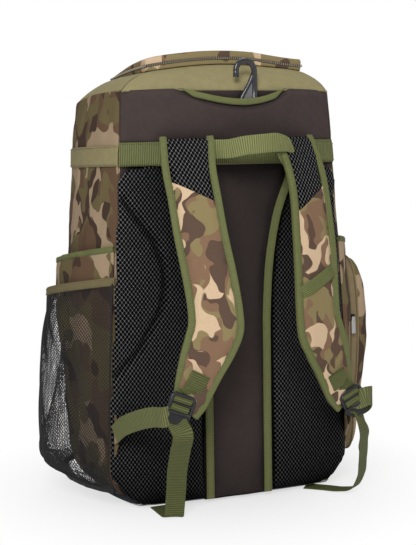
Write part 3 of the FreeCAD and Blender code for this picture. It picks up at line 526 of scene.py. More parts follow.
def plain_cloth(name, colour, thread=0.9 * MM, depth=0.12 * MM, painted_shade_power=0.0):
    """Woven cloth of one colour, a little uneven. Given a power, it is also darkened by painted shade in
    hollows.
    """
    material, tree, surface = finish(name, colour, 0.85, Specular_IOR_Level=0.25)
    vector = where(tree)
    uneven = noise(tree, vector, 9 * MM, 3)
    shade = mixed(tree, uneven, toned(colour, 1 - 2 * MOTTLE), toned(colour, 1 + MOTTLE))
    shade = with_painted_shade(tree, shade, painted_shade_power) if painted_shade_power else shade
    tree.links.new(shade, surface.inputs["Base Color"])
    weave(tree, surface, vector, thread, depth)
    return material


INKS = ((143, 128, 90), (136, 107, 84), (214, 186, 153), (98, 78, 66))  # ground, brown, sand, dark


def camouflage(name, shift, share=1.0, scale=1.0, bare=0.0):
    """Printed woodland cloth. shift moves the print, share darkens it as painted shade (above 1 it
    would lighten it), and bare leaves more of the olive ground."""
    ground, brown, sand, dark = (toned(rgb(*ink), share) for ink in INKS)
    material, tree, surface = finish(name, ground, 0.9, Specular_IOR_Level=0.1)
    place_in = moved(tree, where(tree), shift)
    sway = add(tree, "TexNoise", {"Vector": place_in, "Scale": 22.0 / scale, "Detail": 1.0})
    reach = (0.05 * scale,) * 3
    warped = add(tree, "VectorMath", {0: sway.outputs["Color"], 1: reach}, operation="MULTIPLY")
    warped = add(tree, "VectorMath", {0: warped.outputs[0], 1: place_in}, operation="ADD").outputs[0]
    colour = ground
    layers = ((brown, 58, 0.50, (0.3, 0, 0)), (dark, 46, 0.55, (0, 0, 0.9)),
              (sand, 60, 0.515, (0, 0.7, 0)))
    for ink, size, level, offset in layers:
        place_at = moved(tree, warped, offset, (1.3, 1.3, 1))
        blot = noise(tree, place_at, size * MM * scale, 1.0, 0.4)
        if ink is sand:  # printed as branches: where one noise is near its middle
            swell = noise(tree, moved(tree, place_at, (0.5, 0.2, 0.1)), 70 * MM * scale, 0.0)
            swell = maths(tree, "MULTIPLY_ADD", swell, 0.75, -0.75 * (level + bare))
            ridge = maths(tree, "ABSOLUTE", maths(tree, "SUBTRACT", blot, 0.5))
            edge = maths(tree, "MULTIPLY", maths(tree, "SUBTRACT", swell, ridge), 130.0)
        else:
            edge = maths(tree, "MULTIPLY", maths(tree, "SUBTRACT", blot, level + bare), 110.0)
        edge = add(tree, "Clamp", {"Value": edge}).outputs[0]
        colour = mixed(tree, edge, colour, ink)
    speck = noise(tree, where(tree), 2.2 * MM, 2)
    colour = dimmed(tree, colour, maths(tree, "MULTIPLY_ADD", speck, 0.28, 0.86))
    tree.links.new(colour, surface.inputs["Base Color"])
    weave(tree, surface, where(tree), 0.9 * MM, 0.10 * MM)
    return material


TAPE_THREAD = 1.6 * MM


def woven_tape(name, colour, rib=2.4 * MM, slant=0.0, depth=0.25 * MM, contrast=1.0):
    """Webbing: ribs across its length, worked out from the UV map (u across, v along)."""
    material, tree, surface = finish(name, colour, 0.7, Specular_IOR_Level=0.3)
    place_on = add(tree, "UVMap", uv_map="cloth").outputs[0]
    parts = add(tree, "SeparateXYZ", {0: place_on})
    along = maths(tree, "MULTIPLY_ADD", parts.outputs["X"], slant, parts.outputs["Y"])
    turns = maths(tree, "MULTIPLY", along, 2 * math.pi / rib)
    ribs = maths(tree, "MULTIPLY_ADD", maths(tree, "SINE", turns), 0.5, 0.5)
    threads = maths(tree, "SINE", maths(tree, "MULTIPLY", parts.outputs["X"], 2 * math.pi / TAPE_THREAD))
    height = maths(tree, "MULTIPLY_ADD", threads, 0.12, ribs)
    shade = mixed(tree, ribs, toned(colour, 1 - 0.5 * contrast), toned(colour, 1 + 0.22 * contrast))
    uneven = noise(tree, where(tree), 5 * MM, 3)
    shade = dimmed(tree, shade, maths(tree, "MULTIPLY_ADD", uneven, 0.36, 0.80))
    tree.links.new(shade, surface.inputs["Base Color"])
    bump(tree, surface, height, depth)
    return material


DIAMOND_WIDE, DIAMOND_TALL = 5.0 * MM, 6.8 * MM


def air_mesh(name, yarn, hole):
    """Spacer mesh: a net of yarn round dark diamond holes that are taller than wide, with painted shade
    where other pieces stand close.
    """
    material, tree, surface = finish(name, yarn, 0.75, Specular_IOR_Level=0.06)
    parts = add(tree, "SeparateXYZ", {0: where(tree)})
    across = maths(tree, "MULTIPLY", parts.outputs["X"], 2 * math.pi / DIAMOND_WIDE)
    upward = maths(tree, "MULTIPLY", parts.outputs["Z"], 2 * math.pi / DIAMOND_TALL)
    cross = maths(tree, "ADD", maths(tree, "COSINE", across), maths(tree, "COSINE", upward))
    cross = maths(tree, "ABSOLUTE", cross)
    depth = add(tree, "Clamp", {"Value": maths(tree, "MULTIPLY_ADD", cross, -1.7, 0.82)}).outputs[0]
    shade = mixed(tree, depth, hole, yarn)
    fleck = noise(tree, where(tree), 1.4 * MM, 2)
    shade = dimmed(tree, shade, maths(tree, "MULTIPLY_ADD", fleck, 0.7, 0.55))
    shade = with_painted_shade(tree, shade, 1.6)
    tree.links.new(shade, surface.inputs["Base Color"])
    bump(tree, surface, depth, 0.9 * MM)
    return material


def moulded(name, colour, rough):
    """Moulded plastic with a very fine grain."""
    material, tree, surface = finish(name, colour, rough)
    bump(tree, surface, noise(tree, where(tree), 0.6 * MM, 2), 0.03 * MM, 0.5)
    return material


# the shares are painted shade: the body's, sleeves' and side pocket's prints are darker copies of the
# straps' and lid's print
CAMO = camouflage("camouflage_cloth_painted_shade", (0, 0, 0), 0.56)
CAMO_STRAP = {"left": camouflage("camouflage_left_strap", (0.11, 0.3, 0.05), 1.0, 0.75),
              "right": camouflage("camouflage_right_strap", (0.4, 0.1, 0.21), 0.92, 0.75)}
SLEEVE_CLOTH = {"left": camouflage("camouflage_left_sleeve_painted_shade", (0.6, 0.15, 0.3), 0.56, bare=0.035),
                "right": camouflage("camouflage_right_sleeve_painted_shade", (0.2, 0.5, 0.4), 0.72)}
CAMO_LID = camouflage("camouflage_lid", (0.33, 0.02, 0.1), 0.95, 1.0, 0.11)
CAMO_PURSE = camouflage("camouflage_side_pocket_painted_shade", (0.35, 0.25, 0.6), 0.62)
OLIVE = plain_cloth("olive_cloth", rgb(150, 140, 101))
# a darker copy of the olive cloth, as painted shade, for the side pocket's gusset, piping and zip tape
OLIVE_SHADED = plain_cloth("olive_cloth_painted_shade", rgb(140, 124, 93))
# the brown twill gets painted shade where straps and pads stand in front of it
BROWN = plain_cloth("brown_twill", rgb(70, 59, 57), painted_shade_power=1.2)
BASE = plain_cloth("base_cloth", rgb(48, 50, 58), thread=1.2 * MM)
LINING = plain_cloth("grey_lining", rgb(70, 70, 72), depth=0.05 * MM)
TAPE = woven_tape("green_webbing", rgb(130, 134, 84), rib=2.8 * MM)
# darker copies of the green webbing, as painted shade: on the back band and adjusters, and deeper on the
# patches, lock bands and tails
TAPE_PAINTED_SHADE = woven_tape("green_webbing_painted_shade", rgb(108, 112, 68), rib=2.8 * MM)
TAPE_PAINTED_DEEP_SHADE = woven_tape("green_webbing_painted_deep_shade", rgb(94, 99, 56), rib=2.8 * MM)
BINDING = woven_tape("green_binding_tape", rgb(106, 111, 66), rib=2.0 * MM, depth=0.1 * MM, contrast=0.35)
DIAGONAL = woven_tape("green_twill_tape", rgb(107, 113, 66), rib=2.8 * MM, slant=0.8)
AIR_MESH = air_mesh("black_air_mesh", rgb(152, 152, 154), rgb(1, 1, 1))
NET = finish("black_net_thread", rgb(26, 25, 26), 0.6)[0]
HEM_CLOTH = plain_cloth("olive_hem_tape", rgb(116, 105, 74), depth=0.08 * MM)
THREAD_DARK = finish("dark_thread", rgb(38, 35, 30), 0.7)[0]
THREAD_OLIVE = finish("olive_thread", rgb(112, 104, 74), 0.7)[0]
THREAD_GREEN = finish("green_thread", rgb(84, 86, 54), 0.7)[0]
ZIP_TAPE = plain_cloth("dark_zip_tape", rgb(44, 42, 40), thread=0.7 * MM)
OLIVE_COIL = finish("olive_zip_coil", rgb(108, 97, 68), 0.5)[0]
LID_COIL = finish("grey_zip_coil", rgb(150, 140, 124), 0.4)[0]
ZIP_COIL = finish("dark_zip_coil", rgb(40, 38, 37), 0.4)[0]
SLIDER_METAL = finish("black_painted_metal", rgb(34, 33, 34), 0.35, Metallic=0.4)[0]
PULL_METAL = finish("brushed_pull_metal", rgb(196, 194, 190), 0.3, Metallic=0.9)[0]
HOOK_PLASTIC = moulded("dark_hook_plastic", rgb(54, 54, 56), 0.18)
HOOK_WEB = moulded("grey_hook_web", rgb(112, 112, 114), 0.25)
BUCKLE_PLASTIC = moulded("black_buckle_plastic", rgb(32, 32, 35), 0.36)
FRAME_PLASTIC = moulded("white_board_plastic", rgb(210, 210, 205), 0.5)
print("materials", len(bpy.data.materials))


def stitched(name, rows, thread=THREAD_GREEN, body="root"):
    """Rows of stitches, as a piece of their own."""
    place(stitching(name, rows), thread, body)


# %% [markdown]
# ## The body
# The tub is sewn from a back, two sides and a front on a dark coated base. Cloth that is
# sewn at its rim dips towards the seam and swells between, so each panel is pulled in near its
# edges and carries a few soft creases. The side walls have one more seam down their middle.

# %% Body panels
TUB_FLOOR = 21 * MM  # the base cloth turns up the walls to here
CLOTH = 3 * MM


def front_face(x, z, out=0.0):
    """The y of the front: straight above, drawn in by a parabola near the base, and bowed."""
    share = np.clip(x / half_width(z), -1, 1)
    drawn = 20 * MM * np.clip(1 - z / CORNER, 0, 1) ** 2
    bow = lerp(8, 14, np.clip(z / CORNER, 0, 1)) * MM
    return FRONT - drawn + out + bow * (1 - share * share)


SIDE_POWER = {-1: 2.3, 1: 3.4}  # how squarely each side wall leaves its corners


def side_face(side, y, z, out=0.0, fullness=0.0):
    """The x of a layer on a side: half the width and a bow, 1 - |y|^p, from back to front."""
    share = np.abs(np.clip(y / FRONT, -1, 1))
    bow = 1 - share ** SIDE_POWER[side]
    return side * (half_width(z) + out + side_bow(z) * bow + fullness * (1 - share ** 2))


def dip(distance, depth=1.4 * MM, reach=3.5 * MM):
    """How far cloth is drawn in at a distance from a seam: it fades as exp(-distance/reach)."""
    return depth * np.exp(-np.abs(distance) / reach)


def side_panel(side_name, side):
    y, z = crossed((BACK, FRONT, 121), (TUB_FLOOR, HEIGHT, 150))
    seam = -9 * MM + 16 * MM * (HEIGHT - z) / HEIGHT
    rim = np.minimum(FRONT - np.abs(y), np.minimum(z - TUB_FLOOR, HEIGHT - z))
    slack = ease(rim / (30 * MM))
    crease = ripples(y, z * 0.8, 11 + side, 42 * MM) * 1.5 * MM
    crease += ripples(y, z, 5 + side, 17 * MM) * 0.4 * MM
    pulled = dip(rim) + dip(y - seam, 1.6 * MM, 2.4 * MM) + (1.6 * MM - crease) * slack
    grid = xyz(side_face(side, y, z) - side * pulled, y, z)
    mesh = wall(f"side_panel_cloth_{side_name}", grid, CLOTH, (side, 0, 0))
    place(mesh, CAMO, stands_for=[f"side_panel_{side_name}"])


def flat_panel(name, face, outwards, paint, stands_for, seed):
    u, z = crossed((-1, 1, 101), (TUB_FLOOR, HEIGHT, 130))
    x = u * half_width(z)
    rim = np.minimum((1 - np.abs(u)) * half_width(z), np.minimum(z - TUB_FLOOR, HEIGHT - z))
    pulled = dip(rim) + ease(rim / (30 * MM)) * (1 - ripples(x, z, seed)) * 0.9 * MM
    grid = xyz(x, face(x, z) - outwards[1] * pulled, z)
    place(wall(name, grid, CLOTH, outwards), paint, stands_for=stands_for)


def base_tray():
    """The base cloth: flat underneath, rounded up to the wall seams."""
    loops = []
    for z, shrink in ((TUB_FLOOR, 0), (9 * MM, 0.5), (3.5 * MM, 3), (1 * MM, 8), (0.3 * MM, 16),
                      (0.3 * MM, 40), (0.3 * MM, 70)):
        level = max(z, 4 * MM)
        shrink = shrink * MM
        t = np.linspace(-1, 1, 41)[:-1]
        half = half_width(level) - shrink
        x, y = t * half, t * (FRONT - shrink)
        back = np.stack([x, back_face(x, level) + shrink], axis=1)
        right = np.stack([side_face(1, y, level) - shrink, y], axis=1)
        front = np.stack([-x, front_face(-x, level) - shrink], axis=1)
        left = np.stack([side_face(-1, -y, level) + shrink, -y], axis=1)
        loop = softened(np.concatenate([back, right, front, left]), 10)
        loops.append(np.column_stack([loop, np.full(len(loop), z)]))
    loops.append(np.column_stack([loops[-1][:, :2] * 0.02, np.full(len(loop), 0.3 * MM)]))
    grid = np.stack(loops)
    outwards = unit(grid * (1, 1, 0) - np.array([0, 0, 60 * MM]))
    place(wall("base_tray_cloth", grid, 2 * MM, outwards, loop=True), BASE,
          stands_for=["bottom_panel"])


for side_name, side in SIDES:
    side_panel(side_name, side)
flat_panel("back_panel_cloth", back_face, (0, -1, 0), BROWN, ["back_panel"], 3)
flat_panel("front_panel_cloth", front_face, (0, 1, 0), CAMO, ["front_panel"], 4)
base_tray()

# %% [markdown]
# ## The sloping top and the lid
# Four mitred panels slope in from the body to a low wall. On it runs a zip, and on the zip
# a shallow camouflaged lid. All of them follow closed plans, so one function gives the plan of
# any level and its points crowd at the corners, where the mitre seams are drawn in.

# %% Top yoke, gusset, lid and zip
YOKE_TOP = HEIGHT + 30 * MM
LID_CROWN = 5 * MM
PER_SIDE = 44


def plan(half, depth, bow_back, bow_side, bow_front, soften=0):
    """A closed plan with four bowed sides: back, right, front and left."""
    t = -np.cos(np.pi * np.arange(PER_SIDE) / PER_SIDE)
    bow = 1 - t * t
    sides = [(t * half, -depth - bow_back * bow), (half + bow_side * bow, t * depth),
             (-t * half, depth + bow_front * bow), (-half - bow_side * bow, -t * depth)]
    return softened(np.concatenate([np.stack(side, axis=1) for side in sides]), soften)


def corner_distance(half, depth):
    t = -np.cos(np.pi * np.arange(PER_SIDE) / PER_SIDE)
    return np.concatenate([(1 - np.abs(t)) * size for size in (half, depth, half, depth)])


def outwards_from_middle(grid, lift=0.0):
    """Level directions away from the middle, tipped up by lift."""
    out = unit(grid * (1, 1, 0))
    return unit(out + np.array([0, 0, lift]))


LID_PLAN = (104.7 * MM, 89 * MM, 11 * MM, 3 * MM, 0.5 * MM)
LID_MIDDLE = 3.4 * MM
LID_STEPS = (0.0, 7.5 * MM, 16.5 * MM)  # above the yoke at the back: its seam, the zip, the lid's rim
ZIP_LEVEL = YOKE_TOP + 9.5 * MM


def lid_loop(step, grow=0.0):
    """A closed line round the lid, a step above the yoke's seam and let out by grow. The seam is
    arched across the back. The lid is a wedge that closes to a thin edge at its front hinge,
    but the zip stays level along the right, where its slider runs. The right back corner sticks
    out as an ear, where the ends of the tapes are folded under."""
    half, depth, *bows = LID_PLAN
    loop = plan(half + grow, depth + grow, *bows, soften=22)
    x, y = loop.T
    share = np.clip(x / LID_PLAN[0], -1, 1)
    back = ease((FRONT - y) / (2 * FRONT))
    base = YOKE_TOP + back * (9.5 * (1 - share ** 2) + 1.2 * (1 + share)) * MM
    base = base + 3 * MM * (1 - back) * (1 - share) / 2
    wedge = 0.12 + 0.88 * ease((LID_PLAN[1] - y) / (2 * LID_PLAN[1])) ** 0.8
    zip_line = base + LID_STEPS[1] * wedge
    level = ease((x - 40 * MM) / (66 * MM))
    zip_line = lerp(zip_line, ZIP_LEVEL, level)
    z = lerp(base, zip_line, min(step / LID_STEPS[1], 1)) + max(step - LID_STEPS[1], 0) * wedge
    ear = ease((-y - 79 * MM) / (11 * MM)) * ease((x - 50 * MM) / (40 * MM))
    return np.column_stack([x + LID_MIDDLE + 12.4 * MM * ear, y, z])


def top_yoke():
    """Each level's plan lies between the body's and the lid's. The slope is bowed outwards: at a
    share s of the way in, the rise is s + 0.55·s·(1 - s)."""
    low = plan(half_width(HEIGHT), FRONT, back_bow(HEIGHT), side_bow(HEIGHT), 9 * MM, soften=2)
    high = lid_loop(0)
    s = np.linspace(0, 1, 26)[:, None]
    flat = lerp(low[None], high[None, :, :2], s[..., None])
    rise = (s + 0.55 * s * (1 - s)) * (high[:, 2] - HEIGHT)
    corner = corner_distance(half_width(HEIGHT), FRONT)[None]
    slope = 46 * MM
    crease = ripples(flat[..., 0], flat[..., 1], 21, 40 * MM) * 0.8 * MM
    drawn = dip(corner, 1.5 * MM, 1.8 * MM) + dip(s * slope, 1.2 * MM) + dip((1 - s) * slope, 1.0 * MM)
    body = crease * ease(np.minimum(s, 1 - s) * 5) * ease(corner / (20 * MM))
    grid = np.concatenate([flat, (HEIGHT + rise - drawn * 0.8 + body)[..., None]], axis=-1)
    out = outwards_from_middle(grid, 0.8)
    grid[..., :2] -= out[..., :2] * drawn[..., None] * 0.5
    cloth = wall("top_yoke_cloth", grid, 2.5 * MM, out, loop=True)
    place(cloth, OLIVE, stands_for=["top_yoke"])
    thread = oval(1.2 * MM, 1.0 * MM, 1, 6)
    seams = [carried("mitre", grid[:, k * PER_SIDE], (0, 1, 0), thread) for k in range(4)]
    place(joined("yoke_seam_threads", seams), THREAD_DARK)


def lid_wall(name, low, high, node, body, swell):
    """One of the two low walls round the lid, between two steps and swollen between them."""
    share = np.linspace(0, 1, 9)
    grid = np.stack([lid_loop(lerp(low, high, s), swell * 4 * s * (1 - s)) for s in share])
    mesh = wall(name, grid, 2 * MM, outwards_from_middle(grid), loop=True)
    place(mesh, CAMO_LID, body, [node])


def lid_hinge_cloth():
    """A strip sewn along the front hinge. Its rows run inwards, from the low wall's edge to the
    lid's lining."""
    edge = lid_loop(LID_STEPS[1])
    edge = edge[edge[:, 1] > LID_PLAN[1] - 3 * MM]
    edge = edge[np.argsort(edge[:, 0])]
    rows = [(8.5 * s - 1.5, 2.2 - 1.6 * s) for s in np.linspace(0, 1, 9)]
    grid = np.stack([edge - np.array([0, inwards, down]) * MM for inwards, down in rows])
    strip = place(wall("lid_hinge_cloth", grid, 0.8 * MM, (0, 0, 1)), OLIVE, None)
    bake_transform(strip)


def coons(loop):
    """A patch that fills a closed plan of four sides: sums of its opposite edges, less corners."""
    ends = np.concatenate([loop, loop[:1]])
    edges = [ends[k * PER_SIDE:(k + 1) * PER_SIDE + 1] for k in range(4)]
    back, right, front, left = edges[0], edges[1], edges[2][::-1], edges[3][::-1]
    t = (1 - np.cos(np.pi * np.arange(PER_SIDE + 1) / PER_SIDE)) / 2
    u, v = t[:, None, None], t[None, :, None]
    across = (1 - v) * back[:, None] + v * front[:, None]
    along = (1 - u) * left[None] + u * right[None]
    corners = ((1 - u) * (1 - v) * back[0] + u * (1 - v) * back[-1]
               + (1 - u) * v * front[0] + u * v * front[-1])
    return across + along - corners, t


def lid_panel():
    """The lid's top: it leaves its rim steeply and flattens, as (1 - |t|^4) both ways."""
    patch, t = coons(lid_loop(LID_STEPS[2]))
    side = 2 * t - 1
    swell = 1 - np.abs(side) ** 4
    rise = np.sqrt(np.maximum(swell[:, None] * swell[None], 0))
    crease = ripples(patch[..., 0], patch[..., 1], 31, 50 * MM) * 0.5 * MM
    patch[..., 2] += rise * (LID_CROWN + crease - 0.6 * MM)
    cloth = wall("lid_panel_cloth", patch, 2 * MM, (0, 0, 1))
    place(cloth, CAMO_LID, "lid", ["lid_panel"])


def zip_run(name, path, outwards, node, tape_paint=ZIP_TAPE, coil_paint=ZIP_COIL):
    """A zip on the body: one tape along the path, with the teeth in a row on it."""
    out = unit(np.broadcast_to(outwards, path.shape))
    across = unit(np.cross(out, unit(np.gradient(path, axis=0))))
    tape = carried(f"{name}_tape", path, across, oval(10 * MM, 1.0 * MM, 0.2))
    place(tape, tape_paint, stands_for=[node])
    teeth = zip_teeth(f"{name}_coil", path + out * 0.8 * MM, out, 3.6 * MM)
    place(teeth, coil_paint)


top_yoke()
lid_wall("lid_gusset_cloth", 0, LID_STEPS[1], "lid_gusset", "root", 0.4 * MM)
lid_wall("lid_side_cloth", LID_STEPS[1] + 0.4 * MM, LID_STEPS[2], "lid_side", "lid", 0.8 * MM)
lid_hinge_cloth()
lid_panel()


HINGE_FROM = 79 * MM  # the hinge takes the lid's front edge from here on


def without_front(loop):
    """The part of a closed line that runs round the lid from one end of its hinge to the other."""
    keep = loop[:, 1] < HINGE_FROM
    first = int(np.flatnonzero(keep & ~np.roll(keep, 1))[0])
    return np.roll(loop, -first, axis=0)[:keep.sum()]


def lid_zip():
    """The lid's zip: the lower tape and teeth stay on the body, the upper ones lift with the lid."""
    halves = (("lower", "root", -1.9, -0.2, -0.8), ("upper", "lid", 0.5, 1.9, 0.8))
    for part, body, low, high, tooth in halves:
        path = without_front(lid_loop(LID_STEPS[1] + (low + high) / 2 * MM, 0.6 * MM))
        tape = carried(f"lid_zip_tape_{part}", path, (0, 0, 1), oval((high - low) * MM, 1.0 * MM, 0.2))
        place(tape, ZIP_TAPE, body)
        line = without_front(lid_loop(LID_STEPS[1] + tooth * MM, 1.3 * MM))
        out = outwards_from_middle(line)
        teeth = zip_teeth(f"lid_zip_coil_{part}", line, out, 2.2 * MM, 3 * MM, 0.9 * MM)
        place(teeth, LID_COIL, body)


lid_zip()

# %% [markdown]
# ## The back
# At the top is a padded yoke of brown twill with a scooped pocket mouth, bound in green. The
# hook comes up behind that mouth. A green webbing band crosses below it, and from there two
# air-mesh pads run to the foot with a brown channel between them.

# %% Yoke, scoop binding and webbing band
BAND_LOW, BAND_TOP = 447 * MM, 478 * MM
YOKE_OUT, YOKE_FULL = 1.5 * MM, 14 * MM
YOKE_EDGE = HEIGHT + 1.8 * MM
SCOOP_HALF, SCOOP_DEPTH, SCOOP_RIM = 72 * MM, 14 * MM, 8 * MM


def scoop(x, half=SCOOP_HALF, depth=SCOOP_DEPTH):
    """The mouth's edge: an arc across the scoop, deepest a little to the right, and level with
    the top seam outside it."""
    share = np.clip(x / half, -1, 1)
    return YOKE_EDGE - depth * (1 - share ** 2) ** 1.1 * (1 + 0.3 * share)


def yoke_face(x, z, out=0.0):
    return back_face(x, z, YOKE_OUT + out, YOKE_FULL)


def back_yoke():
    u, v = crossed((-1, 1, 141), (0, 1, 40))
    top = scoop(u * half_width(HEIGHT), SCOOP_HALF + SCOOP_RIM, SCOOP_DEPTH + SCOOP_RIM)
    top = top - (YOKE_EDGE - HEIGHT) * np.abs(u) ** 4
    z = lerp(BAND_TOP - 2 * MM, top - 0.5 * MM, v)
    x = u * (half_width(z) - 0.5 * MM)
    rim = np.minimum(half_width(z) - np.abs(x), z - BAND_TOP + 2 * MM)
    swell = 1.0 * MM * ripples(x, z, 41, 55 * MM) * ease(rim / (20 * MM))
    top_edge = (1 - ease((top - z) / (9 * MM))) * 5 * MM
    grid = xyz(x, yoke_face(x, z, swell) + dip(rim, 2 * MM, 4 * MM) + top_edge, z)
    cloth = wall("back_yoke_twill", grid, 9 * MM, (0, -1, 0))
    place(cloth, BROWN, stands_for=["back_yoke"])


def scoop_binding():
    x = np.linspace(-SCOOP_HALF - 3 * MM, SCOOP_HALF + 3 * MM, 90)
    past = ease((np.abs(x) / SCOOP_HALF - 0.72) / 0.3)
    high = np.minimum(scoop(x), YOKE_EDGE - 0.4 * MM)
    wide = high - scoop(x) + SCOOP_RIM * (1 - 0.86 * past)
    z = high - wide / 2
    path = xyz(x, yoke_face(x, z, 0.6 * MM) + 2.5 * MM + past * 1.5 * MM, z)
    across = np.cross(unit(np.gradient(path, axis=0)), (0, 1, 0))
    tape = carried("scoop_binding_tape", path, across, scaled(oval(1, 3.4 * MM, 0.35), wide))
    place(tape, BINDING, stands_for=["hook_pocket_binding"])
    low = (z - wide / 2 + 1 * MM)[12:-12]
    low = xyz(x[12:-12], yoke_face(x[12:-12], low, 2.6 * MM) + 2.5 * MM, low)
    stitched("scoop_stitching", [(low, (0, -1, 0))])


def webbing_band():
    z, u = crossed((BAND_LOW, BAND_TOP, 14), (-1, 1, 150))
    x = u * (half_width(z) + 0.6 * MM)
    edge = np.minimum(z - BAND_LOW, BAND_TOP - z)
    sag = ripples(x, z, 43, 70 * MM) * 0.8 * MM
    grid = xyz(x, yoke_face(x, z, 1.6 * MM + sag) + dip(edge, 1.2 * MM, 1.5 * MM), z)
    place(wall("back_webbing_band_tape", grid, 1.6 * MM, (0, -1, 0)), TAPE_PAINTED_SHADE,
          stands_for=["back_webbing_band"])
    rows = []
    for level in (BAND_LOW + 2.5 * MM, BAND_TOP - 2.5 * MM):
        x = np.linspace(-1, 1, 80) * half_width(level)
        rows.append((xyz(x, yoke_face(x, level, 2.6 * MM), level), (0, -1, 0)))
    stitched("band_stitching", rows)


back_yoke()
scoop_binding()
webbing_band()

# %% [markdown]
# ## The fence hook
# A moulded hook with two rims and a thin web between them. The outer rim is a round arch whose
# right leg goes straight down. The inner rim leaves the arch and runs down to the left, so the
# hook widens to its foot, which is sewn to webbing inside the pocket.

# %% Hook and its webbing
HOOK_X, HOOK_TOP, HOOK_TIP, HOOK_FOOT = 16.5 * MM, 583.5 * MM, 559 * MM, 497 * MM
HOOK_Y = -140.5 * MM
HOOK_BAR, HOOK_RADIUS = 7.6 * MM, 12.6 * MM


def fence_hook():
    """Two bars along smooth lines and a plate between them."""
    centre = HOOK_TOP - HOOK_BAR / 2 - HOOK_RADIUS
    turn = np.linspace(math.pi, 0, 26)
    arch = np.stack([HOOK_X + HOOK_RADIUS * np.cos(turn), centre + HOOK_RADIUS * np.sin(turn)], axis=1)
    left_leg, right = HOOK_X - HOOK_RADIUS, HOOK_X + HOOK_RADIUS
    outer = np.concatenate([[[left_leg, HOOK_TIP]], arch, [[right, centre - 20 * MM], [right, HOOK_FOOT]]])
    inner = smooth_path([(27, 0, 562), (22, 0, 551), (16, 0, 541), (10.5, 0, 531), (9, 0, 517),
                         (9, 0, 497)], 30)
    outer = np.insert(outer, 1, HOOK_Y, axis=1)
    inner[:, 1] = HOOK_Y
    bars = [carried("hook_rim", outer, (0, 1, 0), oval(6.4 * MM, HOOK_BAR, 0.75)),
            carried("hook_branch", inner, (0, 1, 0), oval(6.0 * MM, 5.4 * MM, 0.75))]
    v = np.linspace(0, 1, 24)
    left = np.stack([np.interp(v, np.linspace(0, 1, 30), inner[:, k]) for k in (0, 2)], axis=1)
    web = np.stack([xyz(lerp(left[:, 0], right, u), HOOK_Y - 1.2 * MM, left[:, 1])
                    for u in np.linspace(0, 1, 6)])
    hook = joined("fence_hook_moulding", bars)
    place(hook, HOOK_PLASTIC, "fence_hook", ["fence_hook"])
    place(wall("fence_hook_web", web, 2.4 * MM, (0, -1, 0)), HOOK_WEB, "fence_hook")


def hook_webbing():
    path = np.array([[20, 0, 510], [20, 0, 500], [20, 0, 492], [20, 0, 483]]) * MM
    path[:, 1] = HOOK_Y
    path = np.array([np.interp(np.linspace(0, 3, 20), range(4), path[:, k]) for k in range(3)]).T
    tape = carried("hook_webbing_tape", path, (1, 0, 0), oval(18 * MM, 1.5 * MM, 0.25))
    place(tape, TAPE, "fence_hook", ["hook_webbing"])


fence_hook()
hook_webbing()

# %% [markdown]
# ## Padded pieces
# A pad is foam between two cloths: sewn flat at its rim and swollen inside. Each starts as a slab,
# is given an even mesh, and a short cloth simulation blows it up a little, which gives it the
# uneven fullness of a sewn pad. The groove that is quilted into a back pad is pressed in
# afterwards.

# %% Inflating a slab
def work_in(mesh_object):
    """Works the object's modifiers into its mesh."""
    graph = bpy.context.evaluated_depsgraph_get()
    mesh = bpy.data.meshes.new_from_object(mesh_object.evaluated_get(graph))
    old = mesh_object.data
    mesh_object.modifiers.clear()
    mesh_object.data = mesh
    bpy.data.meshes.remove(old)


CLOTH_FRAMES = 20


def inflate(mesh, voxel=5 * MM, cap=2.5 * MM):
    """The slab's mesh evened out, blown up by a cloth simulation and rounded by one subdivision.
    cap is the furthest that any point may move."""
    name = mesh.name
    soft = in_scene(name + "_slab", mesh)
    remesh = soft.modifiers.new("even", "REMESH")
    remesh.mode = "VOXEL"
    remesh.voxel_size = voxel
    work_in(soft)
    rest = read_points(soft.data)
    cloth = soft.modifiers.new("cloth", "CLOTH")
    cloth.settings.quality = 5
    cloth.settings.mass = 0.3
    cloth.settings.tension_stiffness = 12
    cloth.settings.compression_stiffness = 12
    cloth.settings.use_pressure = True
    cloth.settings.uniform_pressure_force = 4.0
    cloth.settings.effector_weights.gravity = 0
    cloth.collision_settings.use_collision = False
    for frame_number in range(1, CLOTH_FRAMES + 1):
        bpy.context.scene.frame_set(frame_number)
    work_in(soft)
    shift = read_points(soft.data) - rest
    length = np.linalg.norm(shift, axis=1, keepdims=True)
    print(name, "grew by up to", round(float(length.max()) * 1000, 1), "mm")
    write_points(soft.data, rest + shift * np.minimum(1, cap / np.maximum(length, 1e-9)))
    bpy.context.scene.frame_set(1)
    smoother = soft.modifiers.new("round", "SUBSURF")
    smoother.levels = smoother.render_levels = 1
    work_in(soft)
    mesh = soft.data
    bpy.data.objects.remove(soft)
    mesh.name = name
    mesh.shade_smooth()
    mesh.materials.clear()
    return mesh


def distance_to_line(x, z, line):
    """The distance of each point from a bent line given as (x, z) points."""
    best = np.full(x.shape, np.inf)
    for (x1, z1), (x2, z2) in zip(line[:-1], line[1:]):
        length = (x2 - x1) ** 2 + (z2 - z1) ** 2
        share = np.clip(((x - x1) * (x2 - x1) + (z - z1) * (z2 - z1)) / length, 0, 1)
        best = np.minimum(best, np.hypot(x - x1 - share * (x2 - x1), z - z1 - share * (z2 - z1)))
    return best


def rounded_rim(distance, width=12 * MM):
    """0 at a sewn rim and 1 further in, along a quarter circle."""
    share = np.clip(1 - distance / width, 0, 1)
    return np.sqrt(1 - share * share)


# %% Back pads and the channel between them
PAD_FOOT = 3 * MM
PAD_THICK = 13 * MM
GROOVE = np.array([(148, 406), (131, 382), (110, 352), (100, 322), (98, 305), (100, 282), (106, 259),
                   (120, 237), (133, 213), (165, 180)]) * MM


def channel_edge(z):
    """Half the channel's width: straight, then it flares up to the band."""
    return spline([0, 200, 255, 340, 385, 430, 450], [48, 48, 48.5, 56, 66, 84, 92], z / MM) * MM


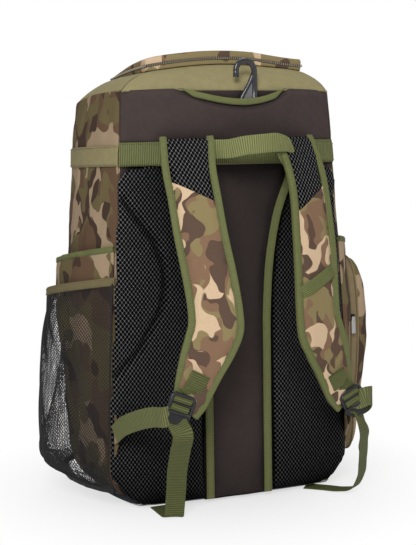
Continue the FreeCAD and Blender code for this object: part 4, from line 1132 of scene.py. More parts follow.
def back_pad(side_name, side):
    u, v = crossed((0, 1, 50), (0, 1, 160))
    z = lerp(PAD_FOOT, BAND_LOW + 3 * MM, v)
    foot = (122 + 60 * np.clip(z / (50 * MM), 0, 1) ** 0.55) * MM
    beyond = lerp(13, 6.5, z / BAND_LOW) if side < 0 else lerp(4, 1, z / BAND_LOW)
    outer_edge = np.minimum(half_width(z) + beyond * MM, foot)
    shoulder = np.clip((z - 422 * MM) / (28 * MM), 0, 1)
    outer_edge = outer_edge - 26 * MM * (1 - np.sqrt(1 - shoulder ** 2 * 0.999))
    x = lerp(channel_edge(z) - 3 * MM, outer_edge, u)
    rim = np.minimum(np.minimum((x - channel_edge(z)) + 3 * MM, outer_edge - x), z - PAD_FOOT)
    full = rounded_rim(rim)
    thick = lerp(2 * MM, PAD_THICK - 2 * MM, full)
    grid = xyz(side * x, back_face(x, z, 1 * MM + thick), z)
    mesh = inflate(wall(f"back_pad_mesh_{side_name}", grid, thick, (0, -1, 0)))
    points = read_points(mesh)
    x, z = np.abs(points[:, 0]), points[:, 2]
    away = distance_to_line(x, z, GROOVE)
    front = ease((back_face(x, z, 4 * MM) - points[:, 1]) / (3 * MM))
    pressed = 5.5 * MM * np.exp(-(away / (4.2 * MM)) ** 2) + 1.2 * MM * np.exp(-away / (14 * MM))
    points[:, 1] += front * pressed
    write_points(mesh, points)
    pad = place(mesh, AIR_MESH, stands_for=[f"back_pad_{side_name}"])


def channel_cloth():
    u, z = crossed((-1, 1, 50), (PAD_FOOT + 1 * MM, BAND_LOW + 4 * MM, 130))
    x = u * channel_edge(z)
    crease = ripples(x, z, 51, 45 * MM) * 0.8 * MM
    grid = xyz(x, back_face(x, z, 4.5 * MM + crease), z)
    place(wall("channel_twill", grid, 3 * MM, (0, -1, 0)), BROWN)


def channel_bindings():
    tapes, rows = [], []
    for side_name, side in SIDES:
        z = np.linspace(PAD_FOOT + 3.5 * MM, BAND_LOW + 2 * MM, 120)
        x = channel_edge(z) - 6.5 * MM
        path = xyz(side * x, back_face(x, z, 9.2 * MM), z)
        tapes.append(carried(f"channel_tape_{side_name}", path, (1, 0, 0), oval(11 * MM, 4 * MM, 0.3)))
        for shift in (-3.6 * MM, 3.6 * MM):
            rows.append((path + np.array([shift, -2.0 * MM, 0]), (0, -1, 0)))
    tape = joined("channel_binding_tapes", tapes)
    place(tape, BINDING, stands_for=["channel_bindings"])
    stitched("channel_stitching", rows)


for side_name, side in SIDES:
    back_pad(side_name, side)
channel_cloth()
channel_bindings()

# %% [markdown]
# ## Shoulder straps
# Each strap is an S-shaped foam pad with tape folded over both edges. Its upper part shows
# air mesh, and from a slanting seam down it has a camouflaged cover. It leaves the back under
# the yoke, swings out and comes down to a box-stitched square of webbing that holds the lock.
# The two straps hang a little differently, as worn ones do, so each has its own lines.

# %% Strap lines
STRAP_OUTER = [(105, 483), (106, 476), (110, 440), (109, 402), (107.5, 360), (104, 318), (101, 280),
               (101, 258), (105, 243), (112, 218), (117, 192), (119, 176), (120, 166)]
STRAP_INNER = {
    "left": [(39, 483), (40, 476), (45, 440), (45, 400), (43, 355), (39, 310), (36, 268),
             (37, 243), (48, 216), (62, 191), (73, 169), (82, 151), (92, 138)],
    "right": [(43, 483), (44, 476), (49, 440), (48, 400), (43, 355), (38, 310), (35, 268),
              (37, 232), (49, 206), (63, 182), (74, 162), (84, 144), (99, 128)],
}
STRAP_LEVELS = [120, 135, 188, 225, 262, 315, 370, 420, 456, 471, 477, 480, 486]
STRAP_DEPTHS = [120, 121, 125, 127, 125, 115, 98, 80, 61, 52, 49, 46, 40]
STRAP_TAPE = 9.5 * MM
STRAP_THICK = 11 * MM
STRAP_INSET = 0.045  # the share of the strap's width that each tape takes over from the pad


def strap_face(x, z, out=0.0):
    """The y of a strap's outer side: its depth at a level, leaning back towards its outer edge."""
    depth = spline(STRAP_LEVELS, STRAP_DEPTHS, z / MM) * MM
    return BACK - depth + 0.28 * (np.abs(x) - 75 * MM) - out


def strap_line(side_name, side, share, count=120):
    """A line down the strap at a share of its width, from the inner edge (0) to the outer (1)."""
    inner, outer = np.array(STRAP_INNER[side_name], float), np.array(STRAP_OUTER, float)
    knots = np.arange(len(outer))
    where_to = np.linspace(0, len(outer) - 1, count)
    flat = lerp(spline(knots, inner, where_to), spline(knots, outer, where_to), share) * MM
    return xyz(side * flat[:, 0], strap_face(flat[:, 0], flat[:, 1]), flat[:, 1])


def tree_of(mesh):
    """A search tree of the mesh's faces, for laying other pieces on it."""
    from mathutils.bvhtree import BVHTree
    faces = [tuple(face.vertices) for face in mesh.polygons]
    return BVHTree.FromPolygons([tuple(v.co) for v in mesh.vertices], faces)


def laid(points, tree, lift):
    """The points moved along Y onto the mesh, and this far in front of it."""
    from mathutils import Vector
    points = np.array(points, float)
    flat = points.reshape(-1, 3)
    for k, (x, y, z) in enumerate(flat):
        hit = tree.ray_cast(Vector((x, -0.6, z)), Vector((0, 1, 0)))[0]
        flat[k, 1] = y - lift if hit is None else min(hit.y, y + 4 * MM) - lift
    return flat.reshape(points.shape)


def strap_pad(side_name, side):
    shares = np.linspace(STRAP_INSET, 1 - STRAP_INSET, 26)
    grid = np.stack([strap_line(side_name, side, share, 130) for share in shares])
    wide = np.linalg.norm(grid[-1] - grid[0], axis=1)[None]
    rim = np.minimum(shares - STRAP_INSET, 1 - STRAP_INSET - shares)[:, None] * wide
    full = rounded_rim(rim, 13 * MM)
    thick = lerp(3.5 * MM, STRAP_THICK, full)
    grid[..., 1] += (1 - full) * 3.2 * MM + 1.5 * MM
    mesh = inflate(wall(f"strap_pad_mesh_{side_name}", grid, thick, (0, -1, 0)), 4.5 * MM, 2.0 * MM)
    pad = place(mesh, AIR_MESH, f"strap_{side_name}", [f"shoulder_strap_{side_name}"])
    return pad


COVER_SEAM = {"left": ((-102.8, 427.3), (-56.6, 403.0)), "right": ((60.6, 389.0), (100.4, 416.6))}


def strap_cover(side_name, side, pad):
    """The camouflaged cover: the pad below the seam, let out by the thickness of the cloth."""
    import bmesh
    (x1, z1), (x2, z2) = np.array(COVER_SEAM[side_name]) * MM
    across = unit(np.array([x2 - x1, 0, z2 - z1]))
    upwards = np.array([-across[2], 0, across[0]])
    cut = bmesh.new()
    cut.from_mesh(pad.data)
    found = bmesh.ops.bisect_plane(cut, geom=cut.verts[:] + cut.edges[:] + cut.faces[:],
                                   plane_co=(x1, 0, z1), plane_no=upwards, clear_outer=True)
    rim = [e for e in found["geom_cut"] if isinstance(e, bmesh.types.BMEdge)]
    cut.normal_update()
    for point in cut.verts:
        gap = abs((point.co.x - x1) * upwards[0] + (point.co.z - z1) * upwards[2])
        crease = float(ripples(point.co.x, point.co.z, 61 + side, 30 * MM)) * 0.5 * MM
        folded = 0.6 * MM * math.exp(-gap / (2.5 * MM))
        point.co += point.normal * (0.8 * MM + crease * min(1, gap / (15 * MM)) + folded)
    bmesh.ops.contextual_create(cut, geom=rim)
    mesh = bpy.data.meshes.new(f"strap_cover_cloth_{side_name}")
    cut.to_mesh(mesh)
    cut.free()
    mesh.shade_smooth()
    cover = place(mesh, CAMO_STRAP[side_name], f"strap_{side_name}")
    return cover


def strap_bindings(side_name, side):
    tapes, rows = [], []
    inner, outer = (strap_line(side_name, side, share, 150) for share in (0, 1))
    for edge, turn in ((inner, 1), (outer, -1)):
        across = unit(outer - inner) * turn
        path = edge + across * STRAP_TAPE / 2 + np.array([0, 4.6 * MM, 0])
        path, across = path[6:], across[6:]
        tapes.append(carried(f"strap_tape_{side_name}", path, across, oval(STRAP_TAPE, 7 * MM, 0.3, 20)))
        out = unit(np.cross(across, unit(np.gradient(path, axis=0))))
        out = out * np.where(out[:, 1:2] < 0, 1, -1)
        rows.append((path + across * 2.6 * MM + out * 3.5 * MM, out))
    body = f"strap_{side_name}"
    place(joined(f"strap_binding_tapes_{side_name}", tapes), BINDING, body,
          [f"strap_bindings_{side_name}"])
    stitched(f"strap_binding_stitching_{side_name}", rows, body=body)


# %% [markdown]
# ## Patches, locks and lower webbing
# The webbing's folded square is sewn on with a box and a cross. From it the webbing runs to the
# top of the ladder lock. A second webbing comes up from the side tab, goes round the lock's middle
# bar and hangs down as a tail that tucks back under the pack.

# %% Patches, keeper and ladder locks
WEBBING = 25 * MM
PATCH = {"left": ((-89.5, 195.5), (-99.5, 177)), "right": ((91.5, 182), (100.5, 164))}
LOCK_AT = {"left": (-115, 155.5), "right": (120, 142)}
LOCK_LEAN = {"left": -23, "right": 26}  # degrees from straight down


def lock_frame(side_name):
    """Where a lock sits: its middle, and its directions across, down and outwards."""
    lean = math.radians(LOCK_LEAN[side_name])
    down = np.array([math.sin(lean), 0, -math.cos(lean)])
    x, z = np.array(LOCK_AT[side_name]) * MM
    middle = np.array([x, strap_face(abs(x), z, 3.5 * MM), z])
    out = np.array([0, -1.0, 0])
    across = unit(np.cross(down, out))
    return middle, across, down, out


def webbing_patch(side_name, tree):
    """The sewn square, the strip that goes on from it to the lock, and two folds in the lock."""
    (x1, z1), (x2, z2) = np.array(PATCH[side_name]) * MM
    start, end = np.array([x1, 0, z1]), np.array([x2, 0, z2])
    middle, lock_across, lock_down, out = lock_frame(side_name)
    down = unit(end - start)
    across = unit(np.cross(down, out))
    steps = np.linspace(-1 * MM, np.linalg.norm(end - start) + 1 * MM, 12)
    path = start + down * steps[:, None]
    path[:, 1] = strap_face(np.abs(path[:, 0]), path[:, 2])
    path = laid(path, tree, 1.6 * MM)
    top_bar = middle - lock_down * 15.5 * MM - out * 1.2 * MM
    reach = np.array([path[-1], lerp(path[-1], top_bar, 0.55), top_bar, top_bar + lock_down * 4 * MM])
    reach = smooth_path(reach / MM, 20)
    box_part = carried(f"patch_box_{side_name}", path, across, oval(WEBBING, 2.8 * MM, 0.2))
    sway = turned_from(across, lock_across, np.linspace(0, 1, 20))
    strip = carried(f"patch_strip_{side_name}", reach, sway, oval(WEBBING - 1 * MM, 1.6 * MM, 0.25))
    body = f"strap_{side_name}"
    bands = []
    for name, first, last in (("upper", -13.2, -6.2), ("lower", -2.6, 4.6)):
        turns = ((first - 0.4, -1.5), (first + 0.8, 1.8), ((first + last) / 2, 2.8), (last - 0.8, 1.8),
                 (last + 0.4, -1.5))
        bend = [middle + lock_down * b * MM + out * c * MM for b, c in turns]
        bands.append(carried(f"lock_band_{name}", smooth_path(np.array(bend) / MM, 16), lock_across,
                             oval(WEBBING - 0.5 * MM, 1.6 * MM, 0.25)))
    place(joined(f"webbing_patch_{side_name}", [box_part, strip, *bands]), TAPE_PAINTED_DEEP_SHADE, body,
          [f"strap_patch_{side_name}"])
    half, long = WEBBING / 2 - 3 * MM, steps[-1] - 3 * MM
    corners = [(-half, 2 * MM), (half, 2 * MM), (half, long), (-half, long), (-half, 2 * MM), (half, long),
               (half, 2 * MM), (-half, long)]
    rows = []
    for (a1, b1), (a2, b2) in zip(corners[:-1], corners[1:]):
        share = np.linspace(0, 1, 12)[:, None]
        row = start + lerp(a1, a2, share) * across + lerp(b1, b2, share) * down
        row[:, 1] = np.interp(lerp(b1, b2, share)[:, 0], steps, path[:, 1]) - 1.5 * MM
        rows.append((row, out))
    stitched(f"patch_stitching_{side_name}", rows, body=body)


def strap_keeper(tree):
    """A webbing loop across the right strap. It bends round both of the strap's edges."""
    ends = np.array([(39, 284.8), (100, 314)]) * MM
    share = np.linspace(0, 1, 40)[:, None]
    flat = lerp(ends[0], ends[1], share)
    path = xyz(flat[:, 0], strap_face(flat[:, 0], flat[:, 1]), flat[:, 1])
    path = laid(path, tree, 1.8 * MM)
    path[:, 1] = np.convolve(np.pad(path[:, 1], 3, "edge"), np.ones(7) / 7, "valid")
    path[:, 1] += ease(np.abs(share[:, 0] - 0.5) * 8 - 3) * 6.5 * MM
    across = unit(np.array([-(ends[1] - ends[0])[1], 0, (ends[1] - ends[0])[0]]))
    mesh = carried("strap_keeper_tape", path, across, oval(16.5 * MM, 1.6 * MM, 0.25))
    place(mesh, DIAGONAL, "strap_right", ["strap_keeper_right"])


def bar(name, start, end, wide, thick, up):
    """A straight bar of rounded section between two points."""
    share = np.linspace(0, 1, 8)[:, None]
    return carried(name, lerp(np.asarray(start), np.asarray(end), share), up, oval(wide, thick, 0.6))


def ladder_lock(side_name):
    """A closed rim, the bar across it, and the thumb tab that levers the lock open."""
    middle, across, down, out = lock_frame(side_name)

    def at(a, b, c=0.0):
        return middle + across * a * MM + down * b * MM + out * c * MM

    corners = [(-15, 7), (-15, -4), (-15, -12.5), (-12, -15.5), (12, -15.5), (15, -12.5), (15, -4),
               (15, 7)]
    rim = np.array([at(a, b, 1.8) for a, b in corners])
    parts = [carried("rim", rim, out, oval(4.8 * MM, 4.6 * MM, 0.55), True),
             bar("bar", at(-14, -4.4, 1.2), at(14, -4.4, 1.2), 3.2 * MM, 2.6 * MM, out)]
    u, v = crossed((-1, 1, 21), (0, 1, 16))
    wide = lerp(17.2, 17.2 * np.sqrt(1 - (0.93 * v) ** 2), ease(v * 1.6)) * MM
    along = lerp(6.2, 19.5, v) * MM
    lift = (1.8 + 4.2 * v ** 1.5) * MM + 0.8 * MM * (1 - u * u)
    tab = (middle + (u * wide)[..., None] * across + along[..., None] * down + lift[..., None] * out)
    parts.append(wall("thumb_tab", tab, 2.6 * MM, out))
    mesh = joined(f"ladder_lock_moulding_{side_name}", parts)
    place(mesh, BUCKLE_PLASTIC, f"lock_{side_name}", [f"ladder_lock_{side_name}"])


# %% Tabs, adjusters and tails
def turned_from(first, last, share):
    """A direction that swings from one to another."""
    return unit(lerp(np.asarray(first, float), np.asarray(last, float), share[:, None]))


def anchor_tab(side_name, side):
    """A triangle of cloth, folded double, from the side seam to the webbing."""
    u, v = crossed((0, 1, 14), (0, 1, 24))
    level = lerp(58, 142, v) * MM
    seam = xyz(side * (half_width(level) + 1.5 * MM), BACK - 1 * MM, level)
    apex = xyz(side * 170 * MM, BACK - 22 * MM, lerp(94, 120, v) * MM)
    tab = lerp(seam, apex, u[..., None])
    tab[..., 1] -= ripples(u * 30 * MM, v * 84 * MM, 71, 25 * MM) * 0.6 * MM
    place(wall(f"anchor_tab_cloth_{side_name}", tab, 2.4 * MM, (side, -0.6, 0)), CAMO,
          stands_for=[f"anchor_tab_{side_name}"])


ADJUSTERS = {
    "left": [(-171, -134, 107), (-167, -149, 118), (-156, -182, 133), (-144, -214, 143), (-133, -236, 147)],
    "right": [(166, -134, 107), (164.5, -149, 112), (163, -184, 126), (155, -214, 140), (145, -231, 146),
              (134, -237, 147)],
}


def adjuster(side_name):
    """The webbing from a side tab up to the lock's bar."""
    middle, across, down, out = lock_frame(side_name)
    low_bar = middle + down * 6 * MM
    last = [(low_bar - out * gap * MM) / MM for gap in (5, 2)]
    path = smooth_path(np.array([*ADJUSTERS[side_name], *last], float), 70)
    share = np.linspace(0, 1, 70)
    turn = ease((share - 0.88) / 0.12)
    bar_way = across if across[2] > 0 else -across
    sway = turned_from((0, 0, 1), bar_way, turn)
    tape = carried(f"adjuster_tape_{side_name}", path, sway, oval(WEBBING, 1.5 * MM, 0.25))
    piece = place(tape, TAPE_PAINTED_SHADE, None, [f"adjuster_webbing_{side_name}"])
    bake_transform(piece)


TAILS = {
    "left": ([(-117, -247, 127), (-114.5, -228, 100), (-112, -207, 72), (-108, -187, 38),
              (-107.5, -178, 14), (-107.5, -174, 3.5), (-108, -165, 1.2), (-109, -140, 1.2),
              (-110, -119, 1.2)], (0.95, -0.3, 0), (0.95, -0.3, 0)),
    "right": ([(131, -234, 108), (146, -208, 76), (154, -190, 50), (157, -178, 26), (152, -166, 7),
               (141, -150, 1.8), (124, -132, 1.2), (109, -119, 1.2), (104, -115, 1.2)],
              (0.75, 0.66, 0), (0.8, 0.6, 0)),
}


def tail(side_name):
    """The webbing's free end, from the lock down to the floor and under the pack."""
    middle, across, down, out = lock_frame(side_name)
    points, first_way, last_way = TAILS[side_name]
    start = (middle + down * 5 * MM - out * 0.5 * MM) / MM
    over = (middle + down * 12 * MM - out * 0.5 * MM) / MM
    path = smooth_path(np.array([start, over, *points]), 120)
    path[:, 2] = np.maximum(path[:, 2], 1.1 * MM)
    share = np.linspace(0, 1, 120)
    bar_way = across if across[0] > 0 else -across
    sway = turned_from(bar_way, first_way, ease(share / 0.06))
    sway = unit(lerp(sway, np.asarray(last_way, float), ease((share - 0.3) / 0.5)[:, None]))
    tape = carried(f"tail_tape_{side_name}", path, sway, oval(WEBBING, 1.5 * MM, 0.25))
    piece = place(tape, TAPE_PAINTED_DEEP_SHADE, None, [f"strap_tail_{side_name}"])
    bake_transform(piece)


# %% [markdown]
# ## The haul handle
# One length of webbing, sewn flat to the inner edge of each strap's root and bowed out between.
# Its right end is folded down before it is sewn.

# %% Haul handle
def haul_handle():
    parts = []
    for path, levels, widths, way in (
            ([(-46, -166, 466), (-38, -173, 466.5), (-26, -184, 466.5), (-8, -196, 470), (14, -199, 472),
              (38, -193, 473), (54, -185, 470), (62, -180, 464.5), (67, -177, 460)],
             [0, 0.72, 0.86, 0.95, 1], [1, 1, 0.8, 0.4, 0.1], (0.03, -0.1, 1)),
            ([(52, -179, 463), (56, -177, 452), (61, -174, 442), (63.5, -171, 434)],
             [0, 0.35, 0.7, 1], [1, 0.75, 0.5, 0.36], (1, 0.25, 0.1))):
        path = smooth_path(path, 80)
        scale = np.interp(np.linspace(0, 1, 80), levels, widths)
        parts.append(carried("handle_part", path, way, scaled(oval(24 * MM, 2.2 * MM, 0.25), scale)))
    place(joined("haul_handle_tape", parts), TAPE, "haul_handle", ["haul_handle"])


for side_name, side in SIDES:
    pad = strap_pad(side_name, side)
    cover = strap_cover(side_name, side, pad)
    cover_tree = tree_of(cover.data)
    strap_bindings(side_name, side)
    webbing_patch(side_name, cover_tree)
    ladder_lock(side_name)
    anchor_tab(side_name, side)
    adjuster(side_name)
    tail(side_name)
    if side_name == "right":
        strap_keeper(cover_tree)
haul_handle()
print("straps reach forward to", round(float(strap_face(75 * MM, 225 * MM)), 4))

# %% [markdown]
# ## Side bands and sleeves
# An olive band crosses each side wall. Below it each side has an open sleeve of olive and
# camouflage cloth with a green top binding, full enough to take a bat. It is sewn down both
# corner seams and round the base, so it stands off the wall most in its middle.

# %% Bands and sleeves
BAND_WIDE = 27 * MM
SIDE_BAND_LOW = 448 * MM
SLEEVE_FULL, SLEEVE_EDGE = 13 * MM, 3 * MM
SLEEVE_TOP = (347 * MM, 312 * MM)  # at the back seam and at the front seam
NET_FULL, NET_EDGE = 33 * MM, 2.6 * MM
NET_TOP = (307 * MM, 269 * MM)
NET_FLOOR = 24 * MM
HEM = 8 * MM
SLACK_FROM = 150 * MM


def pouch_face(side, y, z, full, edge, floor, slack_from=0.0):
    """The x of a pouch's wall: the side wall, let out by a fullness that fades near the floor.
    A pouch that hangs empty is full only above the level slack_from."""
    share = 1 - np.exp(-np.clip(z - floor, 0, None) / (14 * MM))
    filled = 0.1 + 0.9 * ease((z - slack_from) / (130 * MM)) if slack_from else 1.0
    drawn_in = 13 * MM * (1 - ease(z / (230 * MM))) - 5 * MM * ease((z - 200 * MM) / (80 * MM))
    drawn_in = drawn_in if full > 20 * MM else 0.0
    return side_face(side, y, z, edge * share, full * share * filled + drawn_in)


def sleeve_face(side, y, z):
    return pouch_face(side, y, z, SLEEVE_FULL, SLEEVE_EDGE, TUB_FLOOR, SLACK_FROM)


def net_wall(y, z):
    """The net pocket's surface before its folds."""
    return pouch_face(-1, y, z, NET_FULL, NET_EDGE, NET_FLOOR)


def slanting(tops, y, drop=0.0):
    """The level of a slanting top edge at a place along the side."""
    return lerp(tops[0], tops[1], (y - BACK) / (FRONT - BACK)) - drop


def side_band(side_name, side):
    z, y = crossed((SIDE_BAND_LOW, SIDE_BAND_LOW + BAND_WIDE, 12), (BACK + 0.5 * MM, FRONT - 0.5 * MM, 120))
    edge = np.minimum(z - SIDE_BAND_LOW, SIDE_BAND_LOW + BAND_WIDE - z)
    out = 1.3 * MM - dip(edge, 0.9 * MM, 1.2 * MM) + ripples(y, z, 81, 60 * MM) * 0.4 * MM
    grid = xyz(side_face(side, y, z, out), y, z)
    place(wall(f"side_band_cloth_{side_name}", grid, 1.4 * MM, (side, 0, 0)), OLIVE,
          stands_for=[f"side_band_{side_name}"])
    rows = []
    for level in (SIDE_BAND_LOW + 2.2 * MM, SIDE_BAND_LOW + BAND_WIDE - 2.2 * MM):
        y = np.linspace(BACK + 2 * MM, FRONT - 2 * MM, 80)
        x = side_face(side, y, level, 1.6 * MM)
        rows.append((xyz(x, y, level), (side, 0, 0)))
    stitched(f"side_band_stitching_{side_name}", rows, THREAD_OLIVE)


def bat_sleeve(side_name, side):
    y, v = crossed((BACK + 1 * MM, FRONT - 1 * MM, 110), (0, 1, 110))
    z = lerp(TUB_FLOOR + 1 * MM, slanting(SLEEVE_TOP, y, HEM * 0.6), v)
    rim = np.minimum(y - y.min(), y.max() - y)
    slack = ripples(y, z * 0.7, 83 + side, 55 * MM) * 2.2 * MM + ripples(y, z, 85, 20 * MM) * 0.6 * MM
    out = slack * ease(rim / (35 * MM)) * ease((z - TUB_FLOOR) / (30 * MM))
    x = sleeve_face(side, y, z) + side * out
    grid = xyz(x, y, z)
    mesh = wall(f"bat_sleeve_cloth_{side_name}", grid, 1.6 * MM, (side, 0, 0))
    place(mesh, SLEEVE_CLOTH[side_name], stands_for=[f"bat_sleeve_{side_name}"])
    y = np.linspace(BACK + 1 * MM, FRONT - 1 * MM, 110)
    z = slanting(SLEEVE_TOP, y, HEM / 2)
    x = sleeve_face(side, y, z) - side * 0.6 * MM
    path = xyz(x, y, z)
    path[:, 0] += side * np.interp(z, z[::-1], out[:, -1][::-1])
    tape = carried(f"sleeve_binding_tape_{side_name}", path, (0, 0, 1), oval(HEM, 3.6 * MM, 0.5))
    place(tape, BINDING, stands_for=[f"sleeve_binding_{side_name}"])
    row = path + np.array([side * 1.9 * MM, 0, -2.4 * MM])
    stitched(f"sleeve_stitching_{side_name}", [(row, (side, 0, 0))])


# %% [markdown]
# ## The net pocket
# A black knotless net hangs over the left sleeve. It is two families of threads that cross
# in diamonds, laid on the pocket's surface, with the soft folds of a slack net, an olive hem
# along its mouth and a black tape at its foot.

# %% Net pocket
def net_face(y, z):
    """The net's surface. Its folds run down it and are deepest between the seams."""
    share = np.clip((y - BACK) / (FRONT - BACK), 0, 1)
    fold = np.sin(9.0 * share + 2.2 * z / 0.1 + 1.5 * np.sin(z / 0.045)) * 1.6 * MM
    fold = fold + ripples(y, z * 0.45, 91, 38 * MM) * 2.6 * MM
    calm = ease(np.minimum(share, 1 - share) * 7) * ease((z - NET_FLOOR) / (40 * MM))
    calm = calm * ease((slanting(NET_TOP, y) - z) / (45 * MM) + 0.15)
    return net_wall(y, z) - fold * calm - 0.5 * MM


MESH_WIDE, MESH_TALL, NET_THREAD = 4.6 * MM, 5.2 * MM, 0.5 * MM


def folded_over(y, z):
    """Where the net lies double: two bands, which end at a level, and its foot."""
    first = np.abs(y - lerp(-42 * MM, -62 * MM, (z - 110 * MM) / (115 * MM))) < 7 * MM
    second = np.abs(y - lerp(30 * MM, -10 * MM, (z - 40 * MM) / (60 * MM))) < 5 * MM
    third = np.abs(z - 52 * MM - 9 * MM * np.sin(y / 0.019)) < 3.5 * MM
    first &= (z > 66 * MM) & (z < 236 * MM)
    return first | (second & (z < 105 * MM)) | third | (z < 30 * MM)


def net_threads(name, folds=False):
    """Threads in both slants as thin three-sided rods with a joint at every crossing. With
    folds, only a second layer where the net is folded over on itself."""
    near, far = BACK + 2 * MM, FRONT - 2 * MM
    low, high = NET_FLOOR + 1 * MM, NET_TOP[0] - HEM * 0.4
    fine_y = np.linspace(near, far, 400)
    middle_x = net_wall(fine_y, 0.15)
    run = np.r_[0, np.cumsum(np.hypot(np.diff(fine_y), np.diff(middle_x)))]
    columns, rows = int(run[-1] / MESH_WIDE), int((high - low) / MESH_TALL)
    step = np.arange(2 * rows + 1)
    points, faces, total = [], [], 0
    ring = np.arange(3) * 2 * math.pi / 3
    for slant in (1, -1):
        for start in range(-rows, columns + rows + 1):
            place_u = (start + 0.37 * folds + slant * step / 2) * MESH_WIDE
            z = low + step * MESH_TALL / 2
            inside = (place_u >= 0) & (place_u <= run[-1])
            y = np.interp(place_u, run, fine_y)
            inside &= z <= slanting(NET_TOP, y, HEM * 0.4)
            if folds:
                inside &= folded_over(y, z)
            if inside.sum() < 2:
                continue
            y, z = y[inside], z[inside]
            path = xyz(net_face(y, z) - 1.4 * MM * folds, y, z)
            tangent = unit(np.gradient(path, axis=0))
            side_way = unit(np.cross(tangent, (-1, 0, 0)))
            up = np.cross(side_way, tangent)
            circle = np.cos(ring)[:, None] * side_way[:, None] + np.sin(ring)[:, None] * up[:, None]
            points.append((path[:, None] + circle * NET_THREAD).reshape(-1, 3))
            faces.append(cells(len(path), 3, loop_columns=True, start=total))
            total += 3 * len(path)
    return build(name, np.concatenate(points), np.concatenate(faces))


def net_pocket():
    place(net_threads("net_pocket_threads"), NET, stands_for=["mesh_pocket"])
    place(net_threads("net_fold_threads", True), NET)
    y, v = crossed((BACK - 2 * MM, FRONT - 0.5 * MM, 110), (0, 1, 10))
    z = slanting(NET_TOP, y, 0) - v * (HEM + 3 * MM)
    edge = np.minimum(v, 1 - v) * (HEM + 3 * MM)
    grid = xyz(net_face(y, z) - 1.2 * MM + dip(edge, 0.8 * MM, 1.0 * MM), y, z)
    place(wall("net_hem_cloth", grid, 2.2 * MM, (-1, 0, 0)), HEM_CLOTH,
          stands_for=["mesh_pocket_hem"])
    rows = []
    for drop in (2.0 * MM, 8.8 * MM):
        y = np.linspace(BACK + 6 * MM, FRONT - 6 * MM, 90)
        z = slanting(NET_TOP, y, drop)
        rows.append((xyz(net_face(y, z) - 1.5 * MM, y, z), (-1, 0, 0)))
    stitched("net_hem_stitching", rows, THREAD_OLIVE)
    y = np.linspace(BACK + 4 * MM, FRONT - 4 * MM, 100)
    foot = xyz(net_face(y, NET_FLOOR + 5 * MM), y, NET_FLOOR + 3 * MM)
    foot[:, 0] -= ripples(y, y * 0, 95, 14 * MM) * 0.8 * MM
    place(carried("net_foot_tape", foot, (0, 0, 1), oval(8 * MM, 2.4 * MM, 0.5)), NET)
    for name, end in (("back", BACK + 1.5 * MM), ("front", FRONT - 1.5 * MM)):
        z = np.linspace(NET_FLOOR, slanting(NET_TOP, end, HEM), 80)
        tape = carried(f"net_edge_tape_{name}", xyz(net_wall(end, z) - 0.8 * MM, end, z), (0, 1, 0),
                       oval(4 * MM, 1.8 * MM, 0.5))
        place(tape, NET)


# %% [markdown]
# ## The zipped side pocket
# The right sleeve carries a small pocket: an olive gusset in the shape of an arch, with the zip
# along it, and a camouflaged face that swells outwards.

# %% Side pocket, zips, sliders and pulls
PURSE_MIDDLE = np.array([6 * MM, 168 * MM])
PURSE_HALF = np.array([68 * MM, 144 * MM])
PURSE_SEAM = 215.5 * MM
PURSE_POINTS = 160
ZIP_INSET = 11.5 * MM


def purse_outline(grow=0.0):
    """The pocket's outline on the side: a rounded oblong, squarer at its foot than at its top."""
    turn = np.linspace(0, 2 * math.pi, PURSE_POINTS, endpoint=False)
    power = np.where(np.sin(turn) > 0, 0.52, 0.36)
    y = (PURSE_HALF[0] + grow) * np.sign(np.cos(turn)) * np.abs(np.cos(turn)) ** power
    z = (PURSE_HALF[1] + grow) * np.sign(np.sin(turn)) * np.abs(np.sin(turn)) ** power
    return softened(np.stack([y, z], axis=1), 6) + PURSE_MIDDLE


def purse_gusset():
    rows = []
    for share in np.linspace(0, 1, 14):
        loop = purse_outline(2.0 * MM * math.sin(math.pi * share) - 0.3 * MM * math.exp(-(1 - share) * 12))
        root = half_width(loop[:, 1]) + 18 * MM
        x = lerp(root, PURSE_SEAM, share)
        x = x + ripples(loop[:, 0] * 2, loop[:, 1], 101, 40 * MM) * 1.0 * MM * math.sin(math.pi * share)
        rows.append(np.column_stack([x, loop]))
    grid = np.stack(rows)
    out = unit((grid - np.array([0, *PURSE_MIDDLE])) * (0, 1, 1))
    place(wall("side_pocket_gusset_cloth", grid, 2 * MM, out, loop=True), OLIVE_SHADED,
          stands_for=["side_pocket_gusset"])


def purse_face():
    """Rings that shrink towards the middle while the face swells: a quarter circle at the rim."""
    rings = []
    for share in np.concatenate([np.linspace(0, 0.3, 10), np.linspace(0.34, 0.985, 16)]):
        loop = lerp(purse_outline(), PURSE_MIDDLE, share)
        swell = math.sqrt(1 - (1 - min(share / 0.34, 1)) ** 2)
        crease = ripples(loop[:, 0], loop[:, 1], 103, 45 * MM) * 1.2 * MM * min(1, share * 5)
        lean = ease((loop[:, 1] - 60 * MM) / (160 * MM)) * 9 * MM
        x = PURSE_SEAM + swell * (13.5 * MM + lean + 6 * MM * share) + crease
        rings.append(np.column_stack([x, loop]))
    grid = np.stack(rings)
    place(wall("side_pocket_face_cloth", grid, 2 * MM, (1, 0, 0), loop=True), CAMO_PURSE,
          stands_for=["side_pocket_face"])
    piping = np.column_stack([np.full(PURSE_POINTS, PURSE_SEAM + 0.4 * MM), purse_outline(0.4 * MM)])
    place(carried("side_pocket_piping", piping, (1, 0, 0), oval(2.6 * MM, 2.0 * MM, 1), True), OLIVE_SHADED)


def purse_zip():
    """Up the near side, over the arch and down the far side."""
    loop = purse_outline(1.0 * MM)
    loop = np.roll(loop, -(3 * PURSE_POINTS // 4), axis=0)
    loop = loop[loop[:, 1] > 70 * MM][::-1]
    path = np.column_stack([np.full(len(loop), PURSE_SEAM - ZIP_INSET), loop])
    out = unit((path - np.array([0, *PURSE_MIDDLE])) * (0, 1, 1))
    zip_run("side_zip", path, out, "side_pocket_zip", OLIVE_SHADED, OLIVE_COIL)


